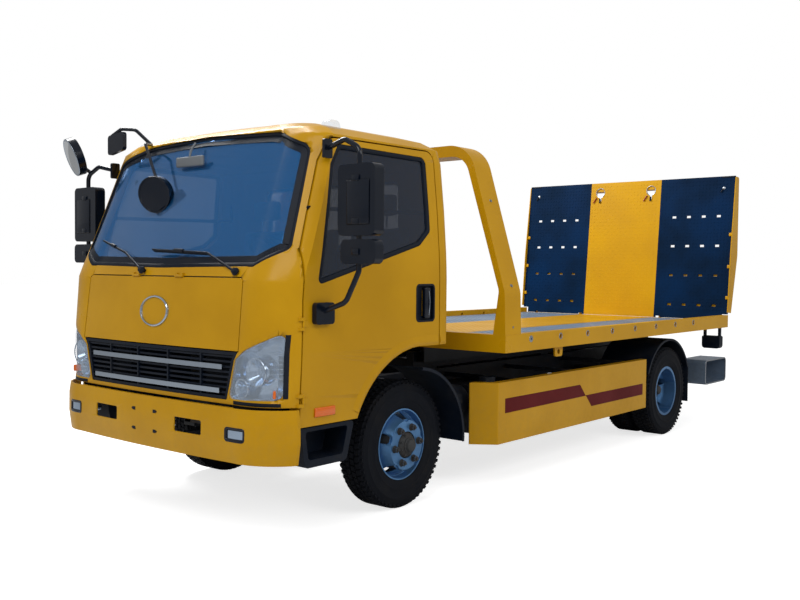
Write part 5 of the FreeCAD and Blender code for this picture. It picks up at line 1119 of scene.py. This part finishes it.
for shape, near, far, (thick, foot, head) in (
        (foot_sides, 393, 1084, upper), (foot_sides, 1085, 1141, (7, 1021, 1042)), (foot_lane, -392, 392, upper),
        (foot_sides, 393, 415, lower), (foot_sides, 456, 955, lower), (foot_sides, 980, 1084, lower),
        (foot_lane, -392, 392, lower)):
    for low, high in sorted({(near, far), (-far, -near)}):
        block(shape, (FACE_X - thick, low, foot), (FACE_X, high, head), 0.5, 1)
for name, shape, finish in (("ramp_lips", trim, black_pp), ("ramp_pins", pins, lens_red), ("ramp_eyes", eyes, zinc),
                            ("ramp_tabs", tabs, yellow), ("ramp_foot_sides", foot_sides, tread_black),
                            ("ramp_foot_lane", foot_lane, yellow)):
    bmesh.ops.transform(shape, matrix=LEAN, verts=shape.verts)
    piece(name, shape, finish, "ramp")
print("lips, pins, eyes, tabs and foot plates on the ramp")

# %% Winch rope and black beams
ROPE_TURNS, ROPE_PITCH, ROPE_END = 23, 17, 196
grooves = [(ROPE_PITCH * k - ROPE_END + y, r) for k in range(ROPE_TURNS) for y, r in ((2, 66), (8.5, 74), (15, 66))]
shape = bmesh.new()
rope = pressed(lathe([(-ROPE_END, 61), *grooves, (ROPE_END, 61)], 36))
stamp(shape, rope, Matrix.Translation((-900, 0, 1110)))
piece("winch_rope", shape, wire_steel, "drum")
BEAMS_Y, BEAMS_TOP = 460, 905
beams = nodes["bed_frame"].data
beams.materials.append(black_enamel)
for face in beams.polygons:
    spot = (face.center - at(0, 0, 0)) * 1000
    if abs(spot.y) < BEAMS_Y and spot.z < BEAMS_TOP:
        face.material_index = 1
print("rope turns:", ROPE_TURNS)

# %% [markdown]
# ## Control boxes and running gear
# Each control box has a bright frame round its outer face and five black lever knobs. Bent rods
# clamp the leaf springs to their axles, and a telescopic damper leans beside each of them.

# %% Control boxes and running gear
BOX_REAR = -4775
EDGE = [(0.3, 1038), (0.3, 1043), (3, 1045), (11, 1045), (13, 1043), (13, 1038)]
shape, knobs = bmesh.new(), bmesh.new()
knob = pressed(lathe([(-16, 0), (-16, 8), (-8, 13), (4, 15), (13, 10), (16, 0)], 16))
for side in (1, -1):
    around(shape, oblong(BOX_REAR, 362, -4256, 595, 40), upright(side, EDGE), 60, 4)
    for k in range(5):
        x = BOX_REAR + 150 + 45 * k
        stamp(knobs, knob, facing((x, side * 894, 573), (0, side * 0.64, 0.77)) @ Matrix.Diagonal((0.8, 0.8, 0.8, 1)))
        tube(knobs, [(x, side * 868, 509), (x, side * 868, 516)], 17, sides=14)
piece("box_edges", shape, zinc, "chassis")
piece("lever_knobs", knobs, black_pp, "chassis")

shape, shocks = bmesh.new(), bmesh.new()
for side in (1, -1):
    for x, y, seat, half, low in ((0, 317, 354, 44, 275), (REAR_AXLE, 430, 449, 44, 316)):
        near, far, top = side * (y - 38), side * (y + 38), seat + 62
        for end in (x - half, x + half):
            path = [(end, near, low), (end, near, top), (end, far, top), (end, far, low)]
            for ends in zip(path, path[1:]):
                tube(shape, ends, 7)
        block(shape, (x - 58, side * y - 46, low - 4), (x + 58, side * y + 46, low + 8), 3, 1)
    for x, foot, head in ((110, (70, 400, 330), (170, 372, 640)), (REAR_AXLE, (REAR_AXLE + 110, 300, 400),
                                                                  (REAR_AXLE + 230, 300, 700))):
        foot, head = [Vector((p[0], side * p[1], p[2])) for p in (foot, head)]
        tube(shocks, [foot, foot.lerp(head, 0.55)], 28, sides=16)
        tube(shocks, [foot.lerp(head, 0.5), head], 34, sides=16)
piece("spring_bolts", shape, black_enamel, "chassis")
piece("shock_absorbers", shocks, black_enamel, "chassis")
print("control boxes and springs fitted")

# %% [markdown]
# ## Floor, light and camera
# A pale floor and a white room stand in for the studio. A large soft lamp high in front models the
# forms, one from the left lights the side, a third stands for the sun on the bed, and the white
# world fills the rest. The camera is the photographer's: 1.44 m up, seven metres from the cab.

# %% Floor and light
floor_mesh = bmesh.new()
bmesh.ops.create_grid(floor_mesh, x_segments=1, y_segments=1, size=60)
floor_data = bpy.data.meshes.new("studio_floor")
floor_mesh.to_mesh(floor_data)
floor_mesh.free()
floor = bpy.data.objects.new("studio_floor", floor_data)
bpy.context.scene.collection.objects.link(floor)
paper, tree, shader, place = blank("white_studio_paper")
glow = add(tree, "ShaderNodeMath", {0: add(tree, "ShaderNodeLightPath", out="Is Camera Ray"), 1: 0.74},
           operation="MULTIPLY")
put(shader, {"Base Color": hexa("D2D2D2"), "Roughness": 0.9, "Emission Color": hexa("FFFFFF"),
             "Emission Strength": glow})
floor_data.materials.append(paper)

world = bpy.data.worlds.new("white_room")
bpy.context.scene.world = world
world.use_nodes = True
room = world.node_tree
room.nodes.clear()
seen = add(room, "ShaderNodeLightPath").node.outputs
direct = add(room, "ShaderNodeMath", {0: seen["Is Camera Ray"], 1: seen["Is Transmission Ray"]}, operation="MAXIMUM")
strength = add(room, "ShaderNodeMapRange", {0: direct, 3: 0.44, 4: 1.0})
sky = add(room, "ShaderNodeBackground", {"Color": hexa("FFFFFF"), "Strength": strength})
add(room, "ShaderNodeOutputWorld", {"Surface": sky})


def lamp(name, place, target, size, power):
    data = bpy.data.lights.new(name, "AREA")
    data.shape = "RECTANGLE"
    data.size, data.size_y = size
    data.energy = power
    thing = bpy.data.objects.new(name, data)
    thing.location = place
    thing.rotation_mode = "QUATERNION"
    thing.rotation_quaternion = (Vector(target) - Vector(place)).to_track_quat("-Z", "Y")
    bpy.context.scene.collection.objects.link(thing)
    return thing


lamp("key", (9.0, 2.5, 7.5), (1.5, 0, 1.0), (6, 4), 360)
lamp("side", (0.0, 9.0, 6.0), (0, 0, 1.0), (8, 3), 280)
lamp("bed", (1.0, -3.5, 6.0), (-2.4, 0, 1.3), (3, 3), 470)

# %% The camera at the photograph's place
SENSOR_MM, FOCAL_PIXELS, PHOTO_WIDTH = 36.0, 923.99, 800.0
camera_data = bpy.data.cameras.new("photo_camera")
camera_data.sensor_width = SENSOR_MM
camera_data.lens = FOCAL_PIXELS * SENSOR_MM / PHOTO_WIDTH
right = Vector((-0.63967506, 0.76859802, 0.00853786))
up = Vector((-0.02082583, -0.028434, 0.9993787))
ahead = Vector((-0.76836326, -0.63909982, -0.03419522))
camera = bpy.data.objects.new("photo_camera", camera_data)
turn = Matrix((right, up, -ahead)).transposed().to_4x4()
camera.matrix_world = Matrix.Translation(at(4250.85, 4372.86, 1436.80)) @ turn
bpy.context.scene.collection.objects.link(camera)
bpy.context.scene.camera = camera
bpy.context.scene.view_settings.view_transform = "Standard"
print("lens", round(camera_data.lens, 2), "mm at", [round(v, 2) for v in camera.location])
